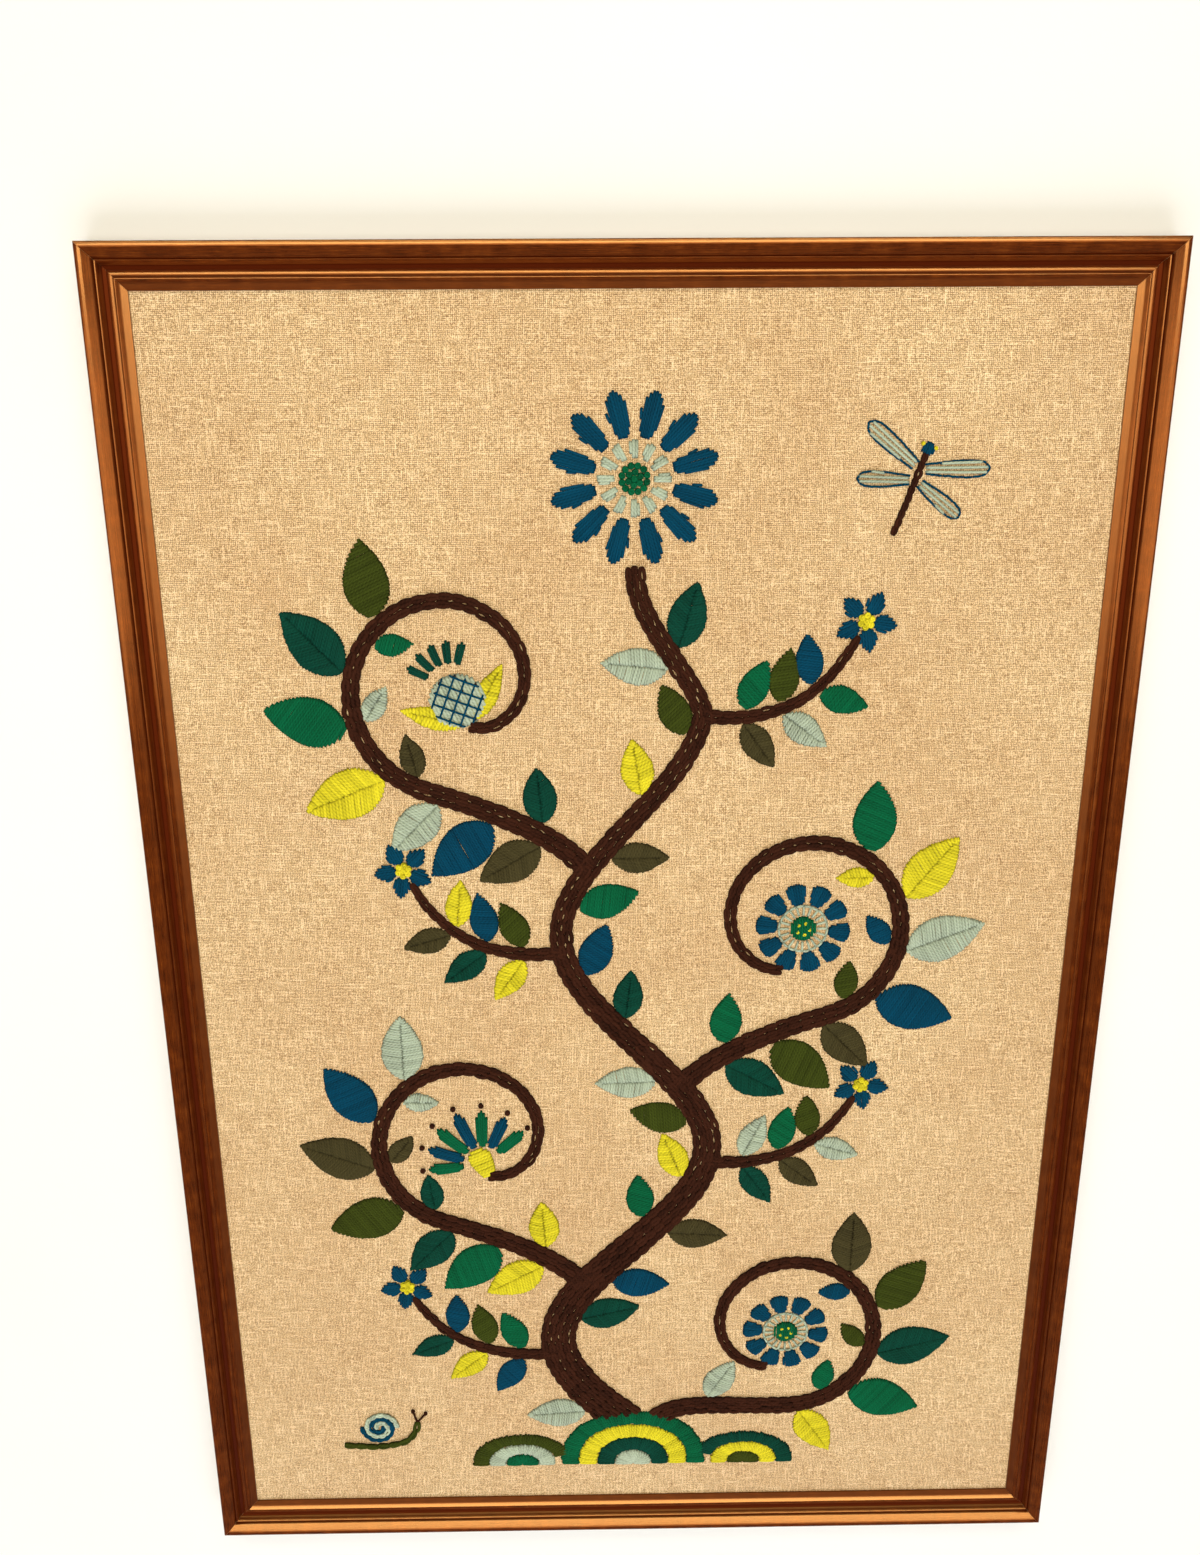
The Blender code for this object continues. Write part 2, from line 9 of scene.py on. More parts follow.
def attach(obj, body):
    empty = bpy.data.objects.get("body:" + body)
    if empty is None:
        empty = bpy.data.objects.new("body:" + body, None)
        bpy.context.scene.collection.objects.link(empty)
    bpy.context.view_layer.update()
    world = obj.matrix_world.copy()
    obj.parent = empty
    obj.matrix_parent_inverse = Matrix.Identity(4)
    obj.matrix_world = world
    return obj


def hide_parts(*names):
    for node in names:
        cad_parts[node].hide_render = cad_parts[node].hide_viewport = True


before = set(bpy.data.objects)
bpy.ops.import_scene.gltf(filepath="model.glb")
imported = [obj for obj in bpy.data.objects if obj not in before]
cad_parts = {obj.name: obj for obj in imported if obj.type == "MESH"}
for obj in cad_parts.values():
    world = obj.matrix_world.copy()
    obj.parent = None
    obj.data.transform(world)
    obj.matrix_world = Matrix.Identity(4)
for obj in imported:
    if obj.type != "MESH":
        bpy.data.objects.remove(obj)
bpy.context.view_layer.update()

MM = 0.001
SEED = 11

# Sizes of the panel, in millimetres, with the ground at 0
SIGHT_WIDE, SIGHT_HIGH = 508.0, 762.0
RAIL_WIDE, REBATE = 22.4, 6.35
LINEN_FACE, LINEN_THICK, HEM = 10.5, 1.0, 18.0
BOARD_THICK, FIT_GAP = 3.2, 0.3

# Main stem: a wave from the mounds to the top flower, both measured from the middle of the opening
STEM_FOOT, STEM_HEAD = -323.0, 242.0
BENDS = 4
SWAY_LOW, SWAY_HIGH, SWAY_CALMS = 50.0, 38.0, 7.0
TOP_FLOWER_AT = 288.0

# One scroll winds in each hollow of the wave and ends at its flower
SCROLL_OUT, SCROLL_RISE, SCROLL_RADIUS, SCROLL_WIND = 99.0, 2.0, 58.0, 2.6
SCROLL_ENTRY, SCROLL_TURN = radians(288.0), radians(318.0)
FIRST_SCROLL_ROOT, SCROLL_ROOT_BELOW = (14.0, -319.0), 0.055
LEAD_OUT, LEAD_UP, LEAD_IN = 14, 22, 30
SCROLLS = (
    {"flower": "wheel", "end_radius": 28.5},
    {"flower": "fan", "end_radius": 24.0},
    {"flower": "wheel", "end_radius": 28.5},
    {"flower": "fruit", "end_radius": 20.0},
)

# A spray at each bend: where its tip is, out from the middle and up from its root, and its curve's handles
SPRAY_ROOT_BELOW, SPRAY_OUT, SPRAY_NEARER, SPRAY_UP = 0.02, 140.0, 6.0, 44.0
SPRAY_ROOT_HANDLE, SPRAY_TIP_HANDLE = (30, -4), (-20, -42)

# Stitched width of the stems at their root and tip
STEMS = {
    "main": {"root": 26.0, "tip": 11.0, "taper": 1.7},
    "scroll": {"root": 13.5, "tip": 6.5, "taper": 1.0},
    "spray": {"root": 8.5, "tip": 5.0, "taper": 1.0},
}

# Leaves of each stem: where they sit along it, on which side, their lean, length and plumpness.
# Scroll leaves: (share, whether on the outside, lean, length)
SCROLL_LEAVES = (
    (0.085, True, 62, 40),
    (0.168, True, 64, 46),
    (0.256, True, 64, 38),
    (0.340, True, 60, 48),
    (0.423, True, 58, 47),
    (0.506, True, 56, 45),
    (0.590, True, 54, 42),
    (0.100, False, 56, 32),
    (0.300, False, 50, 24),
    (0.430, False, 50, 22),
    (0.560, False, 50, 21),
)
# Spray leaves, in pairs: (share, lean, length)
SPRAY_LEAVES = (
    (0.22, 60, 30),
    (0.43, 58, 30),
    (0.64, 56, 28),
)
# Main stem's leaves: (share, hand, length)
MAIN_LEAVES = (
    (0.045, 1, 38), (0.160, -1, 38),
    (0.215, -1, 36), (0.285, 1, 30),
    (0.290, -1, 36), (0.345, 1, 32),
    (0.415, 1, 36), (0.470, 1, 36),
    (0.535, -1, 30), (0.590, -1, 34),
    (0.665, -1, 36), (0.722, -1, 32),
    (0.780, 1, 32), (0.845, 1, 31),
    (0.915, 1, 36), (0.925, -1, 36),
)
SCROLL_PLUMP, SPRAY_PLUMP, MAIN_PLUMP, MAIN_LEAN = 0.60, 0.56, 0.58, 50
LEAF_GAP, FIRST_SCROLL_BARE = 0.7, 0.2
LEAF_COLOURS = ("blue", "pale", "lime", "emerald", "forest", "moss", "olive")

# Whorls of petals: how many there are, how far from the centre they start, and their size
WHEEL_RIM = {"count": 10, "start": 15.0, "length": 13.0, "width": 15.4}
STAR_RIM = {"count": 5, "start": 3.6, "length": 14.0, "width": 10.4}
TOP_RIM = {"count": 12, "start": 21.0, "length": 25.0, "width": 14.6}
TOP_INNER = {"count": 12, "start": 10.4, "length": 9.6, "width": 7.2}
WHEEL_EYE, STAR_EYE, TOP_EYE = 7.6, 4.4, 9.6
SPOKES, SPOKE_GAPS = 20, (0.6, 0.7)
WHEEL_KNOTS, WHEEL_KNOTS_OUT = 5, 3.6
STAR_AHEAD, STAR_KNOTS_APART, TOP_KNOTS_APART = 9.0, 3.2, 3.4

# Fans of petals, in pairs either side of an axis and one on it, each shorter than the one inside it
FAN = {"pairs": 3, "ahead": -15.0, "spread": radians(24), "start": 12.0, "length": 27.0, "shorter": 1.6,
       "width": 10.6}
FAN_CUP = {"start": -9.0, "length": 20.0, "width": 19.0}
CROWN = {"pairs": 2, "ahead": 4.0, "spread": radians(20), "start": 13.5, "length": 13.0, "shorter": 0.0,
         "width": 7.2}
BRACT_LEAN, BRACT_AHEAD = radians(52), -20.0
BRACT = {"start": 5.0, "length": 34.0, "width": 13.0}
FRUIT_AHEAD, FRUIT_RADIUS = -4.0, 15.5

# Ground at the foot of the stem
MOUND_BASE, MOUND_SHOULDER = -354.0, 0.8
MOUNDS = (
    {"x": 0.0, "wide": 96.0, "high": 42.0, "bands": ("emerald", "lime", "forest", "pale")},
    {"x": -74.0, "wide": 66.0, "high": 24.0, "bands": ("moss", "pale", "emerald")},
    {"x": 74.0, "wide": 66.0, "high": 24.0, "bands": ("forest", "lime", "moss")},
)

# Two small animals in the empty corners
DRAGONFLY_AT, DRAGONFLY_ANGLE = (150.0, 292.0), radians(70)
WINGS = (
    {"ahead": 0.0, "lean": radians(70), "start": 3.0, "length": 34.0, "width": 11.0},
    {"ahead": -6.0, "lean": radians(108), "start": 3.0, "length": 28.0, "width": 10.0},
)
BODY_FROM, BODY_TO, HEAD_AHEAD, HEAD_RADIUS = 8.0, -36.0, 11.0, 3.6
EYE_LEAN, EYE_AHEAD, RIM_YARN, HEAD_PITCH = 0.28, 2.0, 1.2, 1.4
SNAIL_AT, SHELL_RADIUS, SHELL_EDGE = (-168.0, -322.0), 13.5, 1.9
SHELL_STEPS, SHELL_STEP = 46, 0.22
HORN_LEANS, HORN_LENGTH, HORN_YARN = (50, 105), 9.0, 1.3
SNAIL_FOOT = ((-24.0, -14.0), (4.0, -17.0), (24.0, -17.0), (25.0, 4.0))

# How each colour's leaves are worked: (stitch, slant, distance between stitches, half the yarn's width as
# a share of that)
LEAF_STITCH = {
    "blue": ("satin", 0.25, 1.45, 0.62),
    "pale": ("fishbone", 0.18, 1.65, 0.55),
    "lime": ("fishbone", 0.34, 1.9, 0.56),
    "emerald": ("satin", 0.42, 1.55, 0.62),
    "forest": ("fishbone", 0.55, 1.7, 0.64),
    "moss": ("satin", -0.35, 1.7, 0.62),
    "olive": ("fishbone", 0.45, 1.7, 0.64),
}
BRACT_SLANT = 0.34
PETAL_PITCH, INNER_PITCH, WING_PITCH, BAND_PITCH, EYE_PITCH, CUP_PITCH = 1.55, 1.7, 2.6, 1.8, 1.5, 2.0
LATTICE, LATTICE_YARN, LATTICE_INSET, LATTICE_KNOT_INSET = 6.0, 1.1, 0.6, 2.0

# From end to end of a laid stitch: its height as a share of its crown, and how far it may sway; then the
# painted shade and taper at its ends, where it dives into the linen, how soon it dips under at them, how
# high its crown is for its length, how far it strays, and how far along its own pattern it may start
STITCH_RISE = np.array([-0.9, 0.15, 0.72, 1.0, 0.72, 0.15, -0.9])
STITCH_SWAY = np.array([0.0, 0.5, 1.0, 1.0, 1.0, 0.5, 0.0])
END_PAINTED_SHADE, END_TAPER = 0.30, 0.6
SHORTEST, DIP, DIP_LIMITS, DIP_NEAR, DIP_FAR = 0.8, 0.8, (0.04, 0.24), 0.55, 1.5
CROWN_BASE, CROWN_LENGTH, CROWN_LIMITS, CROWN_VARIES = 0.55, 30, (0.5, 1.1), (0.93, 1.07)
STRAY, THREAD_SHIFT = 0.12, 40

# Chain stitch: length of a loop, widest row, and half the yarn's width as a share of its row and its limits
CHAIN_LINK, CHAIN_WIDE, YARN_SHARE, CHAIN_YARN = 7.4, 5.3, 0.27, (0.8, 1.5)
ROW_OVERLAP = 1.15
GAPE, GAPE_SHARE = 0.45, 0.10
FOOT_TUCK = 2.5
KNOT_RADIUS, SMALL_KNOT, TIP_KNOT, EYE_KNOT, TIP_KNOT_PAST = 2.1, 1.5, 1.9, 1.3, 3.4
KNOT_TURNS = 1.75

# Yarn colours, as linear light
YARN_COLOURS = {
    "blue": (0.0004, 0.046, 0.096),
    "pale": (0.38, 0.455, 0.36),
    "lime": (0.63, 0.56, 0.023),
    "emerald": (0.0012, 0.098, 0.04),
    "forest": (0.002, 0.045, 0.03),
    "moss": (0.036, 0.05, 0.006),
    "olive": (0.05, 0.042, 0.016),
    "brown": (0.034, 0.01, 0.005),
}


def mix(a, b, u):
    return a + (b - a) * u


def bezier(a, b, c, d, n):
    """n + 1 points along a cubic curve."""
    curve = []
    for i in range(n + 1):
        u, v = i / n, 1 - i / n
        curve.append(tuple(v ** 3 * p + 3 * v * v * u * q + 3 * v * u * u * r + u ** 3 * s
                           for p, q, r, s in zip(a, b, c, d)))
    return curve


def along(point, angle, reach):
    return point[0] + reach * cos(angle), point[1] + reach * sin(angle)


def main_point(t):
    """Centre of the main stem at height share t."""
    sway = mix(SWAY_LOW, SWAY_HIGH, t) * min(1.0, (1.0 - t) * SWAY_CALMS)
    return -sway * sin(BENDS * pi * t), mix(STEM_FOOT, STEM_HEAD, t)


def main_path(n=120):
    return [main_point(i / n) for i in range(n + 1)]


def scroll_centre(k):
    """Side of scroll k, 1 for right, and its centre."""
    side = 1 if k % 2 == 0 else -1
    return side, side * SCROLL_OUT, main_point((2 * k + 1) / (2 * BENDS))[1] + SCROLL_RISE


def scroll_path(k, n=56):
    """Leaves the main stem, then winds round its hollow and in to the flower."""
    side, cx, cy = scroll_centre(k)
    x0, y0 = FIRST_SCROLL_ROOT if k == 0 else main_point(k / BENDS - SCROLL_ROOT_BELOW)
    ring = []
    for i in range(n + 1):
        u = i / n
        phi = SCROLL_ENTRY + SCROLL_TURN * u
        r = mix(SCROLL_RADIUS, SCROLLS[k]["end_radius"], u ** SCROLL_WIND)
        ring.append((cx + side * r * cos(phi), cy + r * sin(phi)))
    ex, ey = ring[0]
    tx, ty = -sin(SCROLL_ENTRY) * side, cos(SCROLL_ENTRY)
    lead = bezier((x0, y0), (x0 + side * LEAD_OUT, y0 + LEAD_UP), (ex - tx * LEAD_IN, ey - ty * LEAD_IN),
                  (ex, ey), n // 4)
    return lead[:-1] + ring


def spray_path(k, n=22):
    """A short frond on the outside of bend k."""
    side = -1 if k % 2 == 0 else 1
    root = main_point((2 * k + 1) / (2 * BENDS) - SPRAY_ROOT_BELOW)
    end = (side * (SPRAY_OUT - SPRAY_NEARER * k), root[1] + SPRAY_UP)
    handles = [(point[0] + side * out, point[1] + up)
               for point, (out, up) in ((root, SPRAY_ROOT_HANDLE), (end, SPRAY_TIP_HANDLE))]
    return bezier(root, *handles, end, n)


def run_of(path):
    """Distance from a path's start to each of its points."""
    return running(np.hypot(*np.diff(np.array(path), axis=0).T))


def running(steps):
    """Total of the steps so far, from 0 to their whole sum."""
    return np.concatenate([[0.0], np.cumsum(steps)])


def at(path, share):
    """Point and heading at a share of a path's length."""
    run = run_of(path)
    want = share * run[-1]
    i = int(min(max(np.searchsorted(run, want) - 1, 0), len(path) - 2))
    u = (want - run[i]) / (run[i + 1] - run[i])
    (x0, y0), (x1, y1) = path[i], path[i + 1]
    return (mix(x0, x1, u), mix(y0, y1, u)), atan2(y1 - y0, x1 - x0)


def stem(kind, path):
    return {"path": path, **STEMS[kind]}


def stem_width(row, share):
    return mix(row["tip"], row["root"], (1 - share) ** row["taper"])


def vines():
    """The main stem, then the scroll and the spray of each bend."""
    scrolls = [stem("scroll", scroll_path(k)) for k in range(BENDS)]
    sprays = [stem("spray", spray_path(k)) for k in range(BENDS)]
    return stem("main", main_path()), scrolls, sprays


def stem_leaf(row, share, hand, lean, length, plump, colour):
    """A leaf beside a stem, on its left if hand is 1 and on its right if -1."""
    point, heading = at(row["path"], share)
    base = along(point, heading + hand * pi / 2, stem_width(row, share) / 2 + LEAF_GAP)
    return {"form": "leaf", "base": base, "angle": heading + hand * radians(lean), "length": length,
            "width": length * plump, "colour": LEAF_COLOURS[colour % len(LEAF_COLOURS)]}


def leaves():
    main, scrolls, sprays = vines()
    found = []
    for k in range(BENDS):
        side = scroll_centre(k)[0]
        for i, (share, outer, lean, length) in enumerate(SCROLL_LEAVES):
            if k == 0 and outer and share < FIRST_SCROLL_BARE:
                continue
            hand, colour = (-side, i + 2 * k) if outer else (side, 2 * i + k + 1)
            found.append(stem_leaf(scrolls[k], share, hand, lean, length, SCROLL_PLUMP, colour))
        for i, (share, lean, length) in enumerate(SPRAY_LEAVES):
            for j, hand in enumerate((1, -1)):
                found.append(stem_leaf(sprays[k], share, hand, lean, length, SPRAY_PLUMP, 2 * i + 3 * j + k))
    for i, (share, hand, length) in enumerate(MAIN_LEAVES):
        found.append(stem_leaf(main, share, hand, MAIN_LEAN, length, MAIN_PLUMP, 3 * i + 1))
    return found


def half_share(form, u):
    """Half width of a blade at share u of its length, as a share of its greatest half width."""
    u = np.clip(np.asarray(u, float), 0.0, 1.0)
    if form == "lobe":
        return (0.42 + 0.58 * u ** 0.8) * np.maximum(0.0, 1 - u ** 5) ** 0.5
    if form == "spear":
        return (0.25 + 0.75 * u ** 0.5) * np.maximum(0.0, 1 - u ** 3.2) ** 0.75 * 1.12
    return np.maximum(0.0, np.sin(pi * u ** 0.80)) ** 0.80


def half_at(row, lengthways):
    """Half width of a blade at a distance from its base."""
    return row["width"] / 2 * half_share(row["form"], lengthways / row["length"])


def petal(centre, angle, start, length, width, colour, form="lobe"):
    """A blade that points away from a centre."""
    return {"form": form, "base": along(centre, angle, start), "angle": angle, "length": length,
            "width": width, "colour": colour}


def whorl(centre, count, start, length, width, colour, form="lobe", turn=0.0):
    """Petals all round a centre."""
    return [petal(centre, turn + 2 * pi * i / count, start, length, width, colour, form)
            for i in range(count)]


def fan(centre, angle, size, colours):
    """Pointed petals spread either side of an axis."""
    root = along(centre, angle, size["ahead"])
    return [petal(root, angle + i * size["spread"], size["start"],
                  size["length"] - size["shorter"] * abs(i), size["width"], colours[i % 2], "spear")
            for i in range(-size["pairs"], size["pairs"] + 1)]


def fan_cup(centre, angle):
    return petal(along(centre, angle, FAN["ahead"]), angle, **FAN_CUP, colour="lime")


def bracts(centre, angle):
    root = along(centre, angle, BRACT_AHEAD)
    return [petal(root, angle + hand * BRACT_LEAN, **BRACT, colour="lime", form="leaf") for hand in (1, -1)]


def star_petals(path):
    """Petals at the tip of a spray, with the gap between two of them over its stem, and their centre."""
    tip, heading = at(path, 1.0)
    centre = along(tip, heading, STAR_AHEAD)
    turn = heading + pi - pi / STAR_RIM["count"]
    return whorl(centre, **STAR_RIM, colour="blue", form="leaf", turn=turn), centre


def wings(centre, angle):
    return [petal(along(centre, angle, row["ahead"]), angle + hand * row["lean"], row["start"],
                  row["length"], row["width"], "pale") for hand in (1, -1) for row in WINGS]


def snail_foot(n):
    return bezier(*[(SNAIL_AT[0] + x, SNAIL_AT[1] + y) for x, y in SNAIL_FOOT], n)


def quads_of(*corners):
    """Rows of four corners, from four arrays of them."""
    return np.stack(corners, axis=-1).reshape(-1, 4)


def put(name, data):
    """An object that holds data, in the scene."""
    obj = bpy.data.objects.new(name, data)
    bpy.context.scene.collection.objects.link(obj)
    return obj


class Yarn:
    """All threads of one colour, gathered as arrays and made into one mesh."""

    def __init__(self, rng):
        self.rng = rng
        self.points, self.quads, self.caps, self.uvs, self.tones = [], [], [], [], []
        self.count = 0

    def threads(self, paths, half_wide, half_tall, sides=6, tone=0.06, ends=0.0):
        """Tubes along paths of shape (threads, points, 3), half_wide by half_tall, with painted shade that
        darkens their ends.
        """
        paths = np.asarray(paths, float)
        total, n, _ = paths.shape
        step = np.gradient(paths, axis=1)
        flat = np.maximum(np.hypot(step[..., 0], step[..., 1]), 1e-6)
        side = np.stack([-step[..., 1] / flat, step[..., 0] / flat, np.zeros_like(flat)], axis=-1)
        ahead = step / np.linalg.norm(step, axis=-1, keepdims=True)
        up = np.cross(ahead, side)
        theta = -pi / 2 + 2 * pi * np.arange(sides) / sides
        if np.ndim(half_wide) == 1:
            half_wide = np.reshape(half_wide, (-1, 1))
        wide, tall = [np.broadcast_to(size, (total, n)).copy() for size in (half_wide, half_tall)]
        for size in (wide, tall):
            size[:, [0, -1]] *= END_TAPER
        ring = (paths[:, :, None, :]
                + side[:, :, None, :] * (wide[..., None] * np.cos(theta))[..., None]
                + up[:, :, None, :] * (tall[..., None] * np.sin(theta))[..., None])
        self.points.append(ring.reshape(-1, 3))
        index = self.count + np.arange(total * n * sides).reshape(total, n, sides)
        after = np.roll(index, -1, axis=2)
        self.quads.append(quads_of(index[:, :-1], after[:, :-1], after[:, 1:], index[:, 1:]))
        self.caps += [*index[:, 0, ::-1].tolist(), *index[:, -1].tolist()]
        steps = np.linalg.norm(np.diff(paths, axis=1), axis=-1)
        run = np.concatenate([np.zeros((total, 1)), np.cumsum(steps, axis=1)], axis=1)
        run += self.rng.uniform(0, THREAD_SHIFT, (total, 1))
        u0 = np.repeat(run[:, :-1, None], sides, axis=2)
        u1 = np.repeat(run[:, 1:, None], sides, axis=2)
        v0 = np.broadcast_to(np.arange(sides) / sides, u0.shape)
        v1 = v0 + 1 / sides
        corners = [np.stack(corner, -1) for corner in ((u0, v0), (u0, v1), (u1, v1), (u1, v0))]
        self.uvs.append(np.stack(corners, axis=3).reshape(-1, 2))
        shade = np.repeat(0.5 + self.rng.uniform(-1, 1, (total, 1)) * tone * 2, n, axis=1)
        # Painted shade: the two points at each end of a stitch are darker, where it dives into the linen
        shade[:, [0, 1, -2, -1]] -= ends
        self.tones.append(np.repeat(np.clip(shade, 0, 1), sides))
        self.count += total * n * sides

    def straight(self, starts, ends, pitch, lift=1.0, jitter=0.22, fill=0.56, tall=0.55):
        """Stitches laid straight from starts to ends, both (n, 2), out of the linen and back in."""
        starts, ends = [np.asarray(spots, float).reshape(-1, 2) for spots in (starts, ends)]
        span = ends - starts
        length = np.maximum(np.hypot(*span.T), SHORTEST)
        way = span / length[:, None]
        starts = starts - way * self.rng.uniform(-jitter, jitter, (len(starts), 1))
        ends = ends + way * self.rng.uniform(-jitter, jitter, (len(ends), 1))
        dip = np.clip(DIP / length, *DIP_LIMITS)
        zero, near, far = 0 * dip, dip * DIP_NEAR, dip * DIP_FAR
        t = np.stack([zero, near, far, zero + 0.5, 1 - far, 1 - near, zero + 1], axis=1)
        crown = lift * np.clip(CROWN_BASE + length / CROWN_LENGTH, *CROWN_LIMITS)
        crown = crown * self.rng.uniform(*CROWN_VARIES, len(length))
        height = np.where(STITCH_RISE > 0, STITCH_RISE * crown[:, None], STITCH_RISE)
        sway = np.sin(pi * t) * self.rng.normal(0, STRAY, (len(length), 1)) * STITCH_SWAY
        across = np.stack([-way[:, 1], way[:, 0]], axis=1)
        xy = (starts[:, None, :] + (ends - starts)[:, None, :] * t[..., None]
              + across[:, None, :] * sway[..., None])
        paths = np.concatenate([xy, (LINEN_FACE + height + tall * 0.35)[..., None]], axis=2)
        self.threads(paths, np.full(len(length), pitch * fill), tall, ends=END_PAINTED_SHADE)

    def build(self, name):
        points = np.concatenate(self.points) * MM
        quads = np.concatenate(self.quads)
        mesh = bpy.data.meshes.new(name)
        mesh.from_pydata(points, [], quads.tolist() + self.caps)
        layer = mesh.uv_layers.new(name="thread")
        uvs = np.zeros((len(mesh.loops), 2))
        body = np.concatenate(self.uvs)
        uvs[:len(body)] = body
        layer.data.foreach_set("uv", uvs.ravel())
        # The tone holds each stitch's own random tone and the painted shade at its ends
        tone = mesh.attributes.new("tone", "FLOAT", "POINT")
        tone.data.foreach_set("value", np.concatenate(self.tones))
        mesh.shade_smooth()
        return put(name, mesh)


def blade_points(row, lengthways, across):
    """Points given along and across a blade's axis, placed on the linen."""
    c, s = cos(row["angle"]), sin(row["angle"])
    return np.stack([row["base"][0] + lengthways * c - across * s,
                     row["base"][1] + lengthways * s + across * c], axis=-1)


def satin_blade(yarn, row, slant, pitch, fill=0.58):
    """Stitches from edge to edge across a leaf."""
    centres = np.arange(pitch * 0.5, row["length"], pitch)
    left, right = centres, centres
    for _ in range(4):
        left = centres + slant * half_at(row, left)
        right = centres - slant * half_at(row, right)
    left, right = [np.clip(spots, 0.4, row["length"] - 0.2) for spots in (left, right)]
    yarn.straight(blade_points(row, left, half_at(row, left)),
                  blade_points(row, right, -half_at(row, right)), pitch, fill=fill)


def fishbone_blade(yarn, row, slant, pitch, fill=0.58):
    """Stitches from both edges of a leaf to its vein, at least as close there as at the edge."""
    length = row["length"]
    fine = np.linspace(pitch * 0.6, length - 0.3, 200)
    apart = np.maximum(np.diff(fine), np.diff(fine - slant * half_at(row, fine)))
    run = running(apart)
    edge = np.interp(np.arange(0.0, run[-1], pitch), run, fine)
    for hand in (1, -1):
        shift = edge + (0.25 * pitch if hand > 0 else -0.25 * pitch)
        reach = half_at(row, shift)
        vein = np.maximum(shift - slant * reach, 0.2)
        past = np.full_like(vein, hand * -0.15)
        yarn.straight(blade_points(row, shift, hand * reach), blade_points(row, vein, past),
                      pitch, jitter=0.3, lift=0.9, fill=fill)
    tip = blade_points(row, np.array([length - 0.2]), np.zeros(1))
    yarn.straight(tip, blade_points(row, np.array([length - 4.5]), np.zeros(1)), pitch, lift=0.8)


def radial_blade(yarn, row, pitch, fill=0.58):
    """Long stitches from the base of a petal to its rim."""
    length, half = row["length"], row["width"] / 2
    across = np.arange(-half + pitch * 0.45, half, pitch)
    shares = np.linspace(0, 1, 80)
    widths = half_share(row["form"], shares)
    for q in across:
        inside = shares[widths * half >= abs(q)]
        if not len(inside):
            continue
        end = blade_points(row, inside[-1] * length, q)
        start = blade_points(row, inside[0] * length * 0.8, q * 0.8)
        yarn.straight([start], [end], pitch, fill=fill, lift=1.05)


def petals(yarns, rows, pitch=PETAL_PITCH):
    """Each petal worked from its base to its rim, in its own colour."""
    for row in rows:
        radial_blade(yarns[row["colour"]], row, pitch)


def satin_disc(yarn, centre, radius, pitch, angle=pi / 2, lift=1.0):
    offsets = np.arange(-radius + pitch * 0.5, radius, pitch)
    reach = np.sqrt(np.maximum(radius ** 2 - offsets ** 2, 0.5))
    c, s = cos(angle), sin(angle)
    middle = np.stack([centre[0] - offsets * s, centre[1] + offsets * c], axis=1)
    way = np.array([c, s])
    yarn.straight(middle - way * reach[:, None], middle + way * reach[:, None], pitch, lift=lift)


def knots(yarn, centres, radius=KNOT_RADIUS):
    """French knots: a turn and three quarters of yarn, drawn down in the middle."""
    t = np.linspace(0, 1, 16)
    for x, y in centres:
        turn = yarn.rng.uniform(0, 2 * pi) + 2 * pi * KNOT_TURNS * t
        r = radius * np.interp(t, [0, 0.1, 0.75, 1.0], [0.45, 0.58, 0.5, 0.05])
        z = LINEN_FACE + radius * np.interp(t, [0, 0.12, 0.55, 0.85, 1.0], [-0.4, 0.35, 0.62, 0.95, 0.7])
        path = np.stack([x + r * np.cos(turn), y + r * np.sin(turn), z], axis=1)
        yarn.threads([path], radius * 0.42, radius * 0.40, tone=0.1)


def knot_cluster(yarn, centre, radius, spacing):
    """Knots that fill a round eye in rings."""
    spots = [centre]
    for ring in range(1, int(radius / spacing) + 1):
        count = int(2 * pi * ring * 0.98)
        spots += [along(centre, 2 * pi * i / count + 0.4 * ring, ring * spacing) for i in range(count)]
    knots(yarn, spots)


def spokes(yarn, centre, inner, outer, count):
    """Blanket stitch: spokes over bare linen, each one tied into a rim."""
    angles = 2 * pi * np.arange(count) / count
    ways = np.stack([np.cos(angles), np.sin(angles)], axis=1)
    inside, outside = centre + ways * inner, centre + ways * outer
    yarn.straight(inside, outside, pitch=1.5, fill=0.5, lift=0.7)
    yarn.straight(outside, np.roll(outside, -1, axis=0), pitch=1.6, fill=0.5, lift=0.8, jitter=0.05)


